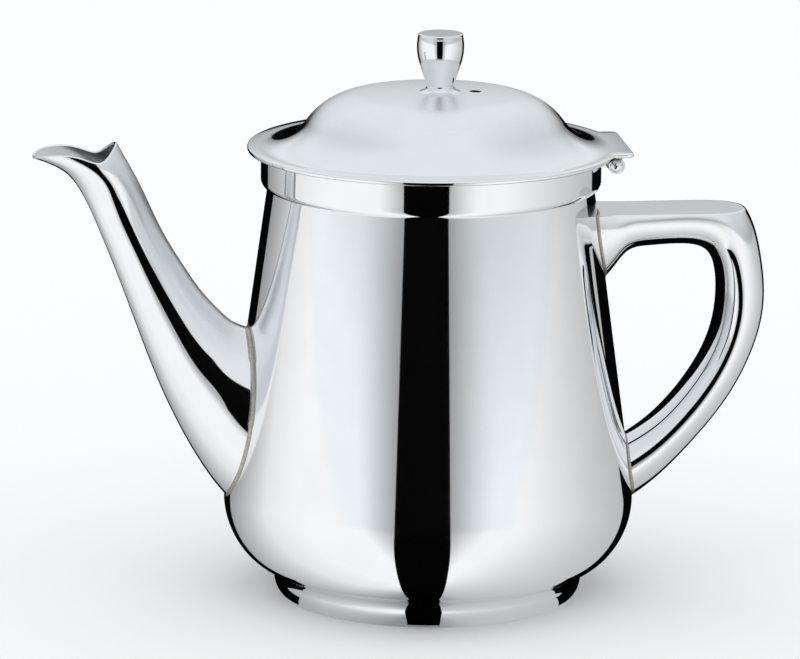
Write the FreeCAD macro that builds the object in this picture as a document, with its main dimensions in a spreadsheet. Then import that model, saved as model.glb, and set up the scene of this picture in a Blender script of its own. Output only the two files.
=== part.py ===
import FreeCAD, Part
import math
import os
import Sketcher
from FreeCAD import Vector

# A one-litre steel serving pot: drawn body on a foot ring, swept spout, hollow handle, hinged lid.
# Frame: +Z up, the spout points to -X, the handle to +X, origin on the pot's axis at table level.

doc = FreeCAD.newDocument("teapot")
sizes = doc.addObject("Spreadsheet::Sheet", "sizes")


# Driving dimensions, in millimetres

SIZES = {
    # Pot body: neck band, groove, straight cone, two tangent rounds, flat bottom
    "wall": 1.0,
    "rim_height": 130.7,
    "neck_radius": 49.1,
    "neck_round": 2.2,
    "groove_radius": 47.15,
    "groove_height": 120.4,
    "cone_end_radius": 59.25,
    "cone_end_height": 32.2,
    "belly_round": 23.8,
    "base_round": 19.5,
    "base_height": 6.8,
    # Foot ring: a rolled collar under the base
    "foot_rest_radius": 42.5,
    "foot_top_radius": 44.6,
    "foot_top_height": 7.6,
    "foot_round": 8.5,
    "foot_wall": 1.6,
    # Strainer: a perforated plate behind an oval opening in the wall
    "strainer_height": 54.0,
    "strainer_sheet": 0.8,
    "opening_half_width": 11.0,
    "opening_half_height": 17.0,
    "strainer_lap": 2.5,
    "strainer_hole_radius": 1.5,
    "strainer_pitch": 4.8,
    # Lid: crown, shoulder and concave sweep down to a flat brim with a thumb tab
    "lid_sheet": 1.2,
    "brim_height": 131.0,
    "brim_radius": 53.0,
    "brim_sweep": 15.5,
    "crown_height": 149.4,
    "crown_round": 155.0,
    "crown_edge_radius": 22.1,
    "shoulder_round": 24.5,
    "dome_offset": 1.2,
    "tab_reach": 56.6,
    "tab_half_width": 17.2,
    "tab_corner": 2.0,
    "vent_offset": 12.6,
    "vent_radius": 1.7,
    "lid_ring_radius": 47.2,
    "lid_ring_wall": 0.9,
    "lid_ring_bottom": 125.8,
    # Knob: a cone that opens into a barrel with a flat top
    "knob_offset": 2.4,
    "knob_foot_radius": 3.9,
    "knob_waist_radius": 6.2,
    "knob_waist_height": 156.3,
    "knob_barrel_radius": 6.85,
    "knob_barrel_height": 158.9,
    "knob_waist_round": 4.0,
    "knob_top_radius": 6.3,
    "knob_top_height": 165.0,
    "knob_barrel_round": 26.0,
    "knob_edge": 0.3,
    "screw_radius": 1.5,
    "screw_reach": 6.5,
    "screw_head_radius": 2.8,
    "screw_head_height": 1.8,
    "washer_radius": 4.2,
    "washer_sheet": 0.8,
    "washer_top": 148.1,
    # Hinge: a centre knuckle on the neck, two outer ones under the tab, a domed pin through all three
    "hinge_x": 52.2,
    "hinge_z": 127.9,
    "barrel_radius": 2.4,
    "pin_radius": 1.2,
    "pin_clearance": 0.05,
    "pin_head_radius": 2.0,
    "pin_head_round": 2.1,
    "centre_half": 4.6,
    "outer_start": 5.0,
    "outer_end": 13.0,
    "heel_reach": 2.05,
    "heel_drop": 2.95,
    "neck_braze_drop": 1.3,
    "neck_braze_height": 1.8,
    "braze_half_width": 1.0,
    # Spout and handle sheet, and the ground weld beads at their roots
    "spout_wall": 1.0,
    "handle_wall": 1.0,
    "handle_flat_height": 112.8,
    "bead_width": 2.0,
    "bead_height": 0.35,
    "split_height": 70.0,
    # Pouring lip: a crest over the beak and a dip behind it
    "lip_front_x": -121.0,
    "lip_front_z": 129.1,
    "lip_turn_x": -101.0,
    "lip_turn_z": 131.3,
    "lip_back_x": -88.0,
    "lip_back_z": 136.6,
    "lip_crest_round": 30.0,
    "lip_dip_round": 11.0,
}

# Oval sections of the spout, root to mouth: lower x, z, upper x, z and half width
SECTION_CELLS = ("low_x", "low_z", "high_x", "high_z", "half_width")
SPOUT_SECTIONS = {
    "spout_inside": (-50.0, 22.0, -43.0, 76.0, 18.0),
    "spout_root": (-62.3, 33.6, -55.5, 80.3, 16.5),
    "spout_swell": (-72.3, 49.9, -60.0, 83.5, 14.2),
    "spout_throat": (-81.8, 71.5, -66.0, 90.0, 11.5),
    "spout_middle": (-89.3, 92.0, -71.5, 98.0, 9.3),
    "spout_upper": (-95.9, 108.9, -78.7, 110.4, 8.4),
    "spout_neck": (-101.2, 120.4, -84.2, 122.3, 8.3),
    "spout_lip": (-106.5, 126.7, -87.9, 129.2, 8.6),
    "spout_mouth": (-118.5, 131.6, -91.4, 135.6, 9.2),
}

# Oval sections of the handle, upper root to lower root: inner x, z, outer x, z and half width
HANDLE_SECTIONS = {
    "handle_inside": (40.0, 84.0, 40.0, 126.0, 13.0),
    "handle_flare": (49.5, 91.5, 49.5, 122.0, 12.0),
    "handle_root": (53.0, 95.6, 53.0, 120.0, 11.4),
    "handle_bar_start": (57.0, 100.6, 57.0, 118.6, 11.0),
    "handle_bar": (63.0, 102.6, 63.0, 118.4, 10.8),
    "handle_bar_end": (73.0, 102.6, 74.0, 118.4, 10.8),
    "handle_corner": (80.9, 99.8, 88.6, 115.4, 10.8),
    "handle_turn": (83.5, 94.0, 97.2, 98.0, 10.6),
    "handle_grip": (83.4, 81.0, 97.5, 80.0, 10.4),
    "handle_bend": (78.5, 68.4, 90.6, 61.9, 10.3),
    "handle_heel": (67.8, 54.2, 77.5, 44.0, 10.3),
    "handle_landing": (58.2, 46.3, 65.7, 32.6, 10.3),
    "handle_end": (48.0, 40.3, 53.7, 23.7, 10.3),
}

# Starting places for the points that tangency settles in the sketches, as radius and height
NECK_ROUND_START = 122.6
BELLY_END = (54.0, 14.3)
BOTTOM_EDGE = 39.0
CROWN_EDGE = 147.8
SWEEP_START = (38.5, 138.4)
SWEEP_END = 50.8
PIN_POLE = 14.4


# Sheet and binding helpers

def write_sizes():
    """Put every driving dimension in the sheet under its own alias."""
    cells = dict(SIZES)
    for sections in (SPOUT_SECTIONS, HANDLE_SECTIONS):
        for name, values in sections.items():
            for part, value in zip(SECTION_CELLS, values):
                cells[name + "_" + part] = value
    for row, (name, value) in enumerate(cells.items(), start=1):
        sizes.set("A%d" % row, name)
        sizes.set("B%d" % row, str(value))
        sizes.setAlias("B%d" % row, name)
    doc.recompute()


def bind(thing, **expressions):
    """Tie properties of a document object to expressions on the sheet."""
    for name, expression in expressions.items():
        thing.setExpression(name, expression)


def place(thing, x="0", y="0", z="0", yaw="0", pitch="0", roll="0"):
    """Tie an object's whole placement to expressions, turns in degrees."""
    base = "create(<<vector>>; %s; %s; %s)" % (x, y, z)
    turn = "create(<<rotation>>; %s; %s; %s)" % (yaw, pitch, roll)
    thing.setExpression("Placement", "create(<<placement>>; %s; %s)" % (base, turn))


# Solid helpers

def cylinder(name, radius, height, **where):
    solid = doc.addObject("Part::Cylinder", name)
    bind(solid, Radius=radius, Height=height)
    place(solid, **where)
    return solid


def box(name, length, width, height, **where):
    solid = doc.addObject("Part::Box", name)
    bind(solid, Length=length, Width=width, Height=height)
    place(solid, **where)
    return solid


def cut(name, base, tool):
    result = doc.addObject("Part::Cut", name)
    result.Base = base
    result.Tool = tool
    return result


def common(name, base, tool):
    result = doc.addObject("Part::Common", name)
    result.Base = base
    result.Tool = tool
    return result


def fuse(name, *solids):
    result = doc.addObject("Part::MultiFuse", name)
    result.Shapes = list(solids)
    return result


# Sketch helpers

def origin_part(body, role):
    for feature in body.Origin.OriginFeatures:
        if feature.Role == role:
            return feature
    raise ValueError("no origin feature " + role)


def sketch_on(body, name, role):
    sketch = body.newObject("Sketcher::SketchObject", name)
    sketch.AttachmentSupport = (origin_part(body, role), [""])
    sketch.MapMode = "FlatFace"
    return sketch


def arc_between(start, end, radius, turn):
    """Circle arc from start to end; turn is +1 counter-clockwise or -1 clockwise."""
    chord = end - start
    half = chord.Length / 2
    rise = math.sqrt(max(radius * radius - half * half, 0.0))
    left = Vector(-chord.y, chord.x, 0).normalize()
    centre = start + chord * 0.5 + left * (rise * turn)
    first, last = (start, end) if turn > 0 else (end, start)
    angle_first = math.atan2(first.y - centre.y, first.x - centre.x)
    angle_last = math.atan2(last.y - centre.y, last.x - centre.x)
    if angle_last < angle_first:
        angle_last += 2 * math.pi
    circle = Part.Circle(centre, Vector(0, 0, 1), radius)
    return Part.ArcOfCircle(circle, angle_first, angle_last)


def draw_outline(sketch, corners, arcs, tangents=(), crowns=()):
    """Draw a closed outline in a sketch and tie it to the sheet.

    corners holds (x, y) expressions; a number instead of text is only a starting place for the solver.
    arcs maps an edge's number to (radius expression, turn); every other edge is straight.
    tangents lists the corners where the two edges run smoothly into each other.
    crowns lists the arcs whose centre lies on the turning axis.
    """
    count = len(corners)
    points = []
    for corner in corners:
        values = [sketch.evalExpression(c) if isinstance(c, str) else c for c in corner]
        points.append(Vector(values[0], values[1], 0))
    starts = {}
    ends = {}
    for edge in range(count):
        start = points[edge]
        end = points[(edge + 1) % count]
        if edge in arcs:
            radius, turn = arcs[edge]
            geometry = sketch.addGeometry(arc_between(start, end, sketch.evalExpression(radius), turn))
            starts[edge] = (geometry, 1 if turn > 0 else 2)
            ends[edge] = (geometry, 2 if turn > 0 else 1)
        else:
            geometry = sketch.addGeometry(Part.LineSegment(start, end))
            starts[edge] = (geometry, 1)
            ends[edge] = (geometry, 2)
    for edge in range(count):
        corner = (edge + 1) % count
        kind = "Tangent" if corner in tangents else "Coincident"
        sketch.addConstraint(Sketcher.Constraint(kind, *ends[edge], *starts[corner]))
    ties = []
    for corner, (x, y) in enumerate(corners):
        for kind, axis, label, expression in (("DistanceX", -2, "x", x), ("DistanceY", -1, "y", y)):
            if expression == "0":
                sketch.addConstraint(Sketcher.Constraint("PointOnObject", *starts[corner], axis))
            elif isinstance(expression, str):
                value = sketch.evalExpression(expression)
                made = sketch.addConstraint(Sketcher.Constraint(kind, -1, 1, *starts[corner], value))
                ties.append((made, "corner_%d_%s" % (corner, label), expression))
    for edge, (radius, turn) in arcs.items():
        value = sketch.evalExpression(radius)
        made = sketch.addConstraint(Sketcher.Constraint("Radius", starts[edge][0], value))
        ties.append((made, "radius_%d" % edge, radius))
    for edge in crowns:
        sketch.addConstraint(Sketcher.Constraint("PointOnObject", starts[edge][0], 3, -2))
    for number, name, expression in ties:
        sketch.renameConstraint(number, name)
        sketch.setExpression("Constraints." + name, expression)
    doc.recompute()


def turned(name, corners, arcs=None, tangents=(), crowns=(), plane="XZ_Plane", axis="Z_Axis"):
    """Body turned from a closed outline about one of its own axes."""
    body = doc.addObject("PartDesign::Body", name)
    sketch = sketch_on(body, name + "_outline", plane)
    draw_outline(sketch, corners, arcs or {}, tangents, crowns)
    revolution = body.newObject("PartDesign::Revolution", name + "_turn")
    revolution.Profile = sketch
    revolution.ReferenceAxis = (origin_part(body, axis), [""])
    revolution.Angle = 360
    doc.recompute()
    return body


def padded(name, corners, arcs, tangents, plane, depth, midplane):
    """Body padded from a closed outline."""
    body = doc.addObject("PartDesign::Body", name)
    sketch = sketch_on(body, name + "_outline", plane)
    draw_outline(sketch, corners, arcs, tangents)
    pad = body.newObject("PartDesign::Pad", name + "_pad")
    pad.Profile = sketch
    pad.Midplane = midplane
    pad.setExpression("Length", depth)
    doc.recompute()
    return body


# Oval sections and lofts

QUARTER_TURN = 90


def oval(name, low_x, low_z, high_x, high_z, half_width, growth, from_side=False):
    """Ellipse across the XZ plane between two outline points, starting at the high one or on its +Y side."""
    ellipse = doc.addObject("Part::Ellipse", name)
    half_length = "hypot(%s - (%s); %s - (%s)) / 2 + %s" % (high_x, low_x, high_z, low_z, growth)
    half_across = "%s + %s" % (half_width, growth)
    slope = "atan2(%s - (%s); %s - (%s)) / 1 deg" % (high_z, low_z, high_x, low_x)
    middle_x = "(%s + %s) / 2" % (low_x, high_x)
    middle_z = "(%s + %s) / 2" % (low_z, high_z)
    if not from_side:
        bind(ellipse, MajorRadius=half_length, MinorRadius=half_across)
        place(ellipse, x=middle_x, z=middle_z, pitch="-1 * " + slope)
    elif sizes.evalExpression(half_length) > sizes.evalExpression(half_across):
        bind(ellipse, MajorRadius=half_length, MinorRadius=half_across)
        ellipse.Angle1 = QUARTER_TURN
        ellipse.Angle2 = QUARTER_TURN
        place(ellipse, x=middle_x, z=middle_z, pitch="180 - " + slope)
    else:
        bind(ellipse, MajorRadius=half_across, MinorRadius=half_length)
        place(ellipse, x=middle_x, z=middle_z, yaw="90", roll="180 - " + slope)
    return ellipse


def lofted(name, sections, growth, from_side=False):
    """Solid through a run of oval sections, each grown by the same amount all round."""
    ovals = []
    for section in sections:
        cells = ["sizes.%s_%s" % (section, part) for part in SECTION_CELLS]
        ovals.append(oval(name + "_" + section, *cells, growth, from_side))
    loft = doc.addObject("Part::Loft", name)
    loft.Sections = ovals
    loft.Solid = True
    loft.Ruled = False
    doc.recompute()
    return loft


write_sizes()


# Pot body: outside and inside are the same turned outline, one wall apart

# For each millimetre of inset the groove's corner moves this far in and up, so that the wall stays even
GROOVE_STEP_IN = 1.2
GROOVE_STEP_UP = 1.4


def pot_form(name, inset):
    """Turned solid of the pot's outline, moved inwards by inset."""
    corners = [
        ("0", "sizes.rim_height"),
        ("sizes.neck_radius - (%s)" % inset, "sizes.rim_height"),
        ("sizes.neck_radius - (%s)" % inset, NECK_ROUND_START),
        (
            "sizes.groove_radius - %s * (%s)" % (GROOVE_STEP_IN, inset),
            "sizes.groove_height + %s * (%s)" % (GROOVE_STEP_UP, inset),
        ),
        ("sizes.cone_end_radius - (%s)" % inset, "sizes.cone_end_height"),
        BELLY_END,
        (BOTTOM_EDGE, "sizes.base_height + %s" % inset),
        ("0", "sizes.base_height + %s" % inset),
    ]
    arcs = {
        2: ("sizes.neck_round - (%s)" % inset, -1),
        4: ("sizes.belly_round - (%s)" % inset, -1),
        5: ("sizes.base_round - (%s)" % inset, -1),
    }
    return turned(name, corners, arcs, tangents=(2, 4, 5, 6), plane="YZ_Plane")


pot_outside = pot_form("pot_outside", "0")
pot_inside = pot_form("pot_inside", "sizes.wall")
pot_wall = cut("pot_wall", pot_outside, pot_inside)


def strainer_oval(name, lap, reach_x):
    """Oval bar along X through the wall behind the spout."""
    low_z = "sizes.strainer_height - sizes.opening_half_height"
    high_z = "sizes.strainer_height + sizes.opening_half_height"
    edge = oval(name + "_edge", "0", low_z, "0", high_z, "sizes.opening_half_width", lap)
    bar = doc.addObject("Part::Extrusion", name)
    bar.Base = edge
    bar.DirMode = "Custom"
    bar.Dir = Vector(-1, 0, 0)
    bar.Solid = True
    bind(bar, LengthFwd=reach_x)
    return bar


THROUGH_WALL = "2 * sizes.cone_end_radius"
spout_opening = strainer_oval("spout_opening", "0", THROUGH_WALL)
body_shell = cut("body_shell", pot_wall, spout_opening)


# Foot ring: rolled collar, trimmed to seat on the belly

foot_form = turned(
    "foot_form",
    [
        ("sizes.foot_rest_radius - sizes.foot_wall", "0"),
        ("sizes.foot_rest_radius", "0"),
        ("sizes.foot_top_radius", "sizes.foot_top_height"),
        ("sizes.foot_top_radius - sizes.foot_wall", "sizes.foot_top_height + sizes.wall"),
    ],
    {1: ("sizes.foot_round", 1), 3: ("sizes.foot_round - sizes.foot_wall", -1)},
)
foot_ring = cut("foot_ring", foot_form, pot_outside)


# Strainer: a patch of the wall's own curve, lapped inside the opening and punched in staggered rows

def cone_room(name, inset):
    """Frustum inside the pot's straight cone, moved inwards by inset."""
    frustum = doc.addObject("Part::Cone", name)
    bind(
        frustum,
        Radius1="sizes.cone_end_radius - (%s)" % inset,
        Radius2="sizes.groove_radius - (%s)" % inset,
        Height="sizes.groove_height - sizes.cone_end_height",
    )
    place(frustum, z="sizes.cone_end_height")
    return frustum


strainer_layer = cut(
    "strainer_layer",
    cone_room("strainer_outside", "sizes.wall"),
    cone_room("strainer_inside", "sizes.wall + sizes.strainer_sheet"),
)
strainer_edge = strainer_oval("strainer_edge", "sizes.strainer_lap", THROUGH_WALL)
strainer_patch = common("strainer_patch", strainer_layer, strainer_edge)
STRAINER_ROWS = (2, 3, 4, 3, 4, 3, 2)
ROW_STEP = 0.866
punches = []
for row, holes in enumerate(STRAINER_ROWS):
    level = row - (len(STRAINER_ROWS) - 1) / 2
    for hole in range(holes):
        offset = hole - (holes - 1) / 2
        punches.append(
            cylinder(
                "punch_%d_%d" % (row, hole),
                "sizes.strainer_hole_radius",
                THROUGH_WALL,
                y="%s * sizes.strainer_pitch" % offset,
                z="sizes.strainer_height + %s * sizes.strainer_pitch" % (level * ROW_STEP),
                pitch="-90",
            )
        )
strainer_plate = cut("strainer_plate", strainer_patch, fuse("strainer_punches", *punches))


# Spout: two pressed halves welded along the middle, cut to a pouring lip

spout_solid = lofted("spout_solid", SPOUT_SECTIONS, "0")
spout_hollow = lofted("spout_hollow", SPOUT_SECTIONS, "(-1 * sizes.spout_wall)")
spout_tube = cut("spout_tube", cut("spout_bare", spout_solid, pot_outside), spout_hollow)

LIP_CLEARANCE = 20.0
lip_cutter = padded(
    "lip_cutter",
    [
        ("sizes.lip_front_x", "sizes.lip_front_z"),
        ("sizes.lip_turn_x", "sizes.lip_turn_z"),
        ("sizes.lip_back_x", "sizes.lip_back_z"),
        ("sizes.lip_back_x", "sizes.lip_back_z + %s" % LIP_CLEARANCE),
        ("sizes.lip_front_x", "sizes.lip_back_z + %s" % LIP_CLEARANCE),
    ],
    {0: ("sizes.lip_crest_round", -1), 1: ("sizes.lip_dip_round", 1)},
    (),
    "XZ_Plane",
    "4 * sizes.spout_mouth_half_width",
    True,
)
spout_cut = cut("spout_cut", spout_tube, lip_cutter)


def half_space(name, side):
    """Block that covers everything on one side of the XZ plane; side is -1 or +1."""
    reach = "4 * sizes.cone_end_radius"
    start_y = "0" if side > 0 else "-1 * %s" % reach
    return box(name, reach, reach, reach, x="-2 * sizes.cone_end_radius", y=start_y, z="-1 * sizes.wall")


left_side = half_space("left_side", -1)
right_side = half_space("right_side", 1)
spout_left_half = common("spout_left_half", spout_cut, left_side)
spout_right_half = common("spout_right_half", spout_cut, right_side)


# Weld beads: a thin band on the pot's surface round the root of the spout and of the handle

pot_skin = cut("pot_skin", pot_form("pot_grown", "(-1 * sizes.bead_height)"), pot_outside)
spout_grown = lofted("spout_grown", SPOUT_SECTIONS, "sizes.bead_width")
spout_weld_seam = cut("spout_weld_seam", common("spout_band", spout_grown, pot_skin), spout_solid)


# Handle: two pressed halves, the bar sliced to a flat thumb rest

def flat_top(name, height):
    """Block above the thumb rest."""
    reach = "2 * sizes.cone_end_radius"
    return box(name, reach, reach, "sizes.cone_end_radius", y="-1 * sizes.cone_end_radius", z=height)


handle_solid = cut(
    "handle_solid",
    lofted("handle_form", HANDLE_SECTIONS, "0", from_side=True),
    flat_top("above_flat", "sizes.handle_flat_height"),
)
handle_hollow = cut(
    "handle_hollow",
    lofted("handle_inner_form", HANDLE_SECTIONS, "(-1 * sizes.handle_wall)", from_side=True),
    flat_top("above_inner_flat", "sizes.handle_flat_height - sizes.handle_wall"),
)
handle_tube = cut("handle_tube", cut("handle_bare", handle_solid, pot_outside), handle_hollow)
handle_left_half = common("handle_left_half", handle_tube, left_side)
handle_right_half = common("handle_right_half", handle_tube, right_side)

handle_grown = cut(
    "handle_grown",
    lofted("handle_grown_form", HANDLE_SECTIONS, "sizes.bead_width", from_side=True),
    flat_top("above_bead", "sizes.handle_flat_height + sizes.bead_width"),
)
handle_collar = cut("handle_collar", common("handle_band", handle_grown, pot_skin), handle_solid)
lower_block = box(
    "lower_block",
    "4 * sizes.cone_end_radius",
    "4 * sizes.cone_end_radius",
    "sizes.split_height",
    x="-2 * sizes.cone_end_radius",
    y="-2 * sizes.cone_end_radius",
)
handle_upper_weld = cut("handle_upper_weld", handle_collar, lower_block)
handle_lower_weld = common("handle_lower_weld", handle_collar, lower_block)


# Lid: dished sheet trimmed to a round outline with a thumb tab

LID_TRIM = 8.0


def lid_surface(drop):
    """Corners from the axis out along the lid's top, lowered by drop, and the arcs between them."""
    top_of_brim = "sizes.brim_height + sizes.lid_sheet"
    corners = [
        ("0", "sizes.crown_height - %s" % drop),
        ("sizes.crown_edge_radius * (1 - %s / sizes.crown_round)" % drop, CROWN_EDGE),
        SWEEP_START,
        (SWEEP_END, "%s - %s" % (top_of_brim, drop)),
        ("sizes.brim_radius + %s" % LID_TRIM, "%s - %s" % (top_of_brim, drop)),
    ]
    arcs = {
        0: ("sizes.crown_round - %s" % drop, -1),
        1: ("sizes.shoulder_round - %s" % drop, -1),
        2: ("sizes.brim_sweep + %s" % drop, 1),
    }
    return corners, arcs


def lid_outline():
    """The sheet's section: the top surface out, then the underside back to the axis."""
    top, top_arcs = lid_surface("0")
    under, under_arcs = lid_surface("sizes.lid_sheet")
    corners = top + under[::-1]
    arcs = dict(top_arcs)
    last = len(corners) - 1
    for edge, (radius, turn) in under_arcs.items():
        arcs[last - 1 - edge] = (radius, -turn)
    return corners, arcs


lid_corners, lid_arcs = lid_outline()
lid_form = turned("lid_form", lid_corners, lid_arcs, tangents=(1, 2, 3, 6, 7, 8), crowns=(0, 8))
place(lid_form, x="sizes.dome_offset")

tab_blank = padded(
    "tab_blank",
    [
        ("sizes.dome_offset", "-1 * sizes.tab_half_width"),
        ("sizes.tab_reach - sizes.tab_corner", "-1 * sizes.tab_half_width"),
        ("sizes.tab_reach", "-1 * sizes.tab_half_width + sizes.tab_corner"),
        ("sizes.tab_reach", "sizes.tab_half_width - sizes.tab_corner"),
        ("sizes.tab_reach - sizes.tab_corner", "sizes.tab_half_width"),
        ("sizes.dome_offset", "sizes.tab_half_width"),
    ],
    {1: ("sizes.tab_corner", 1), 3: ("sizes.tab_corner", 1)},
    (),
    "XY_Plane",
    "2 * sizes.rim_height",
    False,
)
brim_blank = cylinder("brim_blank", "sizes.brim_radius", "2 * sizes.rim_height")
lid_blank = fuse("lid_blank", brim_blank, tab_blank)
lid_trimmed = common("lid_trimmed", lid_form, lid_blank)
vent_hole = cylinder("vent_hole", "sizes.vent_radius", "2 * sizes.rim_height", x="sizes.vent_offset")
knob_hole = cylinder("knob_hole", "sizes.screw_radius", "2 * sizes.rim_height", x="sizes.knob_offset")
lid_shell = cut("lid_shell", lid_trimmed, fuse("lid_holes", vent_hole, knob_hole))


# Locating ring: a short tube that hangs inside the neck, its top edge trimmed to the lid's underside

under_corners, under_arcs = lid_surface("sizes.lid_sheet")
under_corners = under_corners + [
    ("sizes.brim_radius + %s" % LID_TRIM, "sizes.lid_ring_bottom"),
    ("0", "sizes.lid_ring_bottom"),
]
lid_room = turned("lid_room", under_corners, under_arcs, tangents=(1, 2, 3), crowns=(0,))
place(lid_room, x="sizes.dome_offset")
ring_tube = cut(
    "ring_tube",
    cylinder("ring_outside", "sizes.lid_ring_radius", "2 * sizes.rim_height"),
    cylinder("ring_inside", "sizes.lid_ring_radius - sizes.lid_ring_wall", "2 * sizes.rim_height"),
)
lid_ring = common("lid_ring", ring_tube, lid_room)


# Knob: turned, held from below by a screw and washer

knob_form = turned(
    "knob_form",
    [
        ("0", "sizes.crown_height - sizes.lid_sheet / 2"),
        ("sizes.knob_foot_radius", "sizes.crown_height - sizes.lid_sheet / 2"),
        ("sizes.knob_waist_radius", "sizes.knob_waist_height"),
        ("sizes.knob_barrel_radius", "sizes.knob_barrel_height"),
        ("sizes.knob_top_radius + sizes.knob_edge / 2", "sizes.knob_top_height - sizes.knob_edge"),
        ("sizes.knob_top_radius", "sizes.knob_top_height"),
        ("0", "sizes.knob_top_height"),
    ],
    {2: ("sizes.knob_waist_round", 1), 3: ("sizes.knob_barrel_round", 1)},
)
place(knob_form, x="sizes.knob_offset")
knob_bore = cylinder(
    "knob_bore",
    "sizes.screw_radius",
    "sizes.screw_reach",
    x="sizes.knob_offset",
    z="sizes.crown_height - sizes.lid_sheet",
)
crown_ball = doc.addObject("Part::Sphere", "crown_ball")
bind(crown_ball, Radius="sizes.crown_round")
place(crown_ball, x="sizes.dome_offset", z="sizes.crown_height - sizes.crown_round", roll="90")
knob = cut("knob", cut("knob_seated", knob_form, crown_ball), knob_bore)

washer_disc = cylinder(
    "washer_disc",
    "sizes.washer_radius",
    "sizes.washer_sheet",
    x="sizes.knob_offset",
    z="sizes.washer_top - sizes.washer_sheet",
)
knob_washer = cut("knob_washer", washer_disc, knob_hole)

screw_head = cylinder(
    "screw_head",
    "sizes.screw_head_radius",
    "sizes.screw_head_height",
    x="sizes.knob_offset",
    z="sizes.washer_top - sizes.washer_sheet - sizes.screw_head_height",
)
screw_shank = cylinder(
    "screw_shank",
    "sizes.screw_radius",
    "sizes.crown_height - sizes.lid_sheet + sizes.screw_reach - sizes.washer_top + sizes.washer_sheet",
    x="sizes.knob_offset",
    z="sizes.washer_top - sizes.washer_sheet",
)
knob_screw = fuse("knob_screw", screw_head, screw_shank)


# Hinge: the lid swings on a pin pressed into its two outer knuckles; the tab stops on the centre one's heel

def hinge_bar(name, radius, start_y, length):
    """Round bar along Y on the hinge axis."""
    return cylinder(name, radius, length, x="sizes.hinge_x", y=start_y, z="sizes.hinge_z", roll="-90")


centre_start = "-1 * sizes.centre_half"
centre_length = "2 * sizes.centre_half"
centre_barrel = hinge_bar("centre_barrel", "sizes.barrel_radius", centre_start, centre_length)
stop_heel = box(
    "stop_heel",
    "sizes.heel_reach",
    centre_length,
    "sizes.heel_drop",
    x="sizes.hinge_x",
    y=centre_start,
    z="sizes.hinge_z - sizes.heel_drop",
)
running_radius = "sizes.pin_radius + sizes.pin_clearance"
centre_bore = hinge_bar("centre_bore", running_radius, centre_start, centre_length)
pot_knuckle = cut("pot_knuckle", fuse("pot_knuckle_blank", centre_barrel, stop_heel), centre_bore)

neck_braze_block = box(
    "neck_braze_block",
    "sizes.hinge_x - sizes.groove_radius",
    centre_length,
    "sizes.neck_braze_height",
    x="sizes.groove_radius",
    y=centre_start,
    z="sizes.hinge_z - sizes.neck_braze_drop",
)
neck_braze = cut("neck_braze", cut("neck_braze_seated", neck_braze_block, pot_outside), centre_barrel)


def lid_knuckle(side, start_y):
    """Outer knuckle bored for the pin, and the braze that joins it to the tab."""
    length = "sizes.outer_end - sizes.outer_start"
    barrel = hinge_bar("outer_barrel_" + side, "sizes.barrel_radius", start_y, length)
    bore = hinge_bar("outer_bore_" + side, "sizes.pin_radius", start_y, length)
    block = box(
        "tab_braze_block_" + side,
        "2 * sizes.braze_half_width",
        length,
        "sizes.brim_height - sizes.hinge_z",
        x="sizes.hinge_x - sizes.braze_half_width",
        y=start_y,
        z="sizes.hinge_z",
    )
    return cut("lid_knuckle_" + side, barrel, bore), cut("tab_braze_" + side, block, barrel)


lid_knuckle_near, tab_braze_near = lid_knuckle("near", "-1 * sizes.outer_end")
lid_knuckle_far, tab_braze_far = lid_knuckle("far", "sizes.outer_start")

hinge_pin = turned(
    "hinge_pin",
    [
        ("0", -PIN_POLE),
        ("sizes.pin_head_radius", "-1 * sizes.outer_end"),
        ("sizes.pin_radius", "-1 * sizes.outer_end"),
        ("sizes.pin_radius", "sizes.outer_end"),
        ("sizes.pin_head_radius", "sizes.outer_end"),
        ("0", PIN_POLE),
    ],
    {0: ("sizes.pin_head_round", 1), 4: ("sizes.pin_head_round", 1)},
    crowns=(0, 4),
    plane="XY_Plane",
    axis="Y_Axis",
)
place(hinge_pin, x="sizes.hinge_x", z="sizes.hinge_z")


# Check every object, then write one file per piece

PIECES = [
    body_shell,
    foot_ring,
    strainer_plate,
    spout_left_half,
    spout_right_half,
    spout_weld_seam,
    handle_left_half,
    handle_right_half,
    handle_upper_weld,
    handle_lower_weld,
    pot_knuckle,
    neck_braze,
    hinge_pin,
    lid_shell,
    lid_ring,
    lid_knuckle_near,
    lid_knuckle_far,
    tab_braze_near,
    tab_braze_far,
    knob,
    knob_washer,
    knob_screw,
]

doc.recompute()
for thing in doc.Objects:
    if "Invalid" in thing.State or "Error" in thing.State:
        raise RuntimeError("%s did not build: %s" % (thing.Label, thing.State))

os.makedirs("parts", exist_ok=True)
for piece in PIECES:
    shape = piece.Shape
    if shape.isNull() or not shape.isValid():
        raise RuntimeError(piece.Label + " has no valid shape")
    print("%-20s solids %d  volume %9.1f" % (piece.Label, len(shape.Solids), shape.Volume))
    shape.exportStep("parts/%s.step" % piece.Label)
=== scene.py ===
import bpy
import math
import numpy as np
from mathutils import Matrix, Vector


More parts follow.
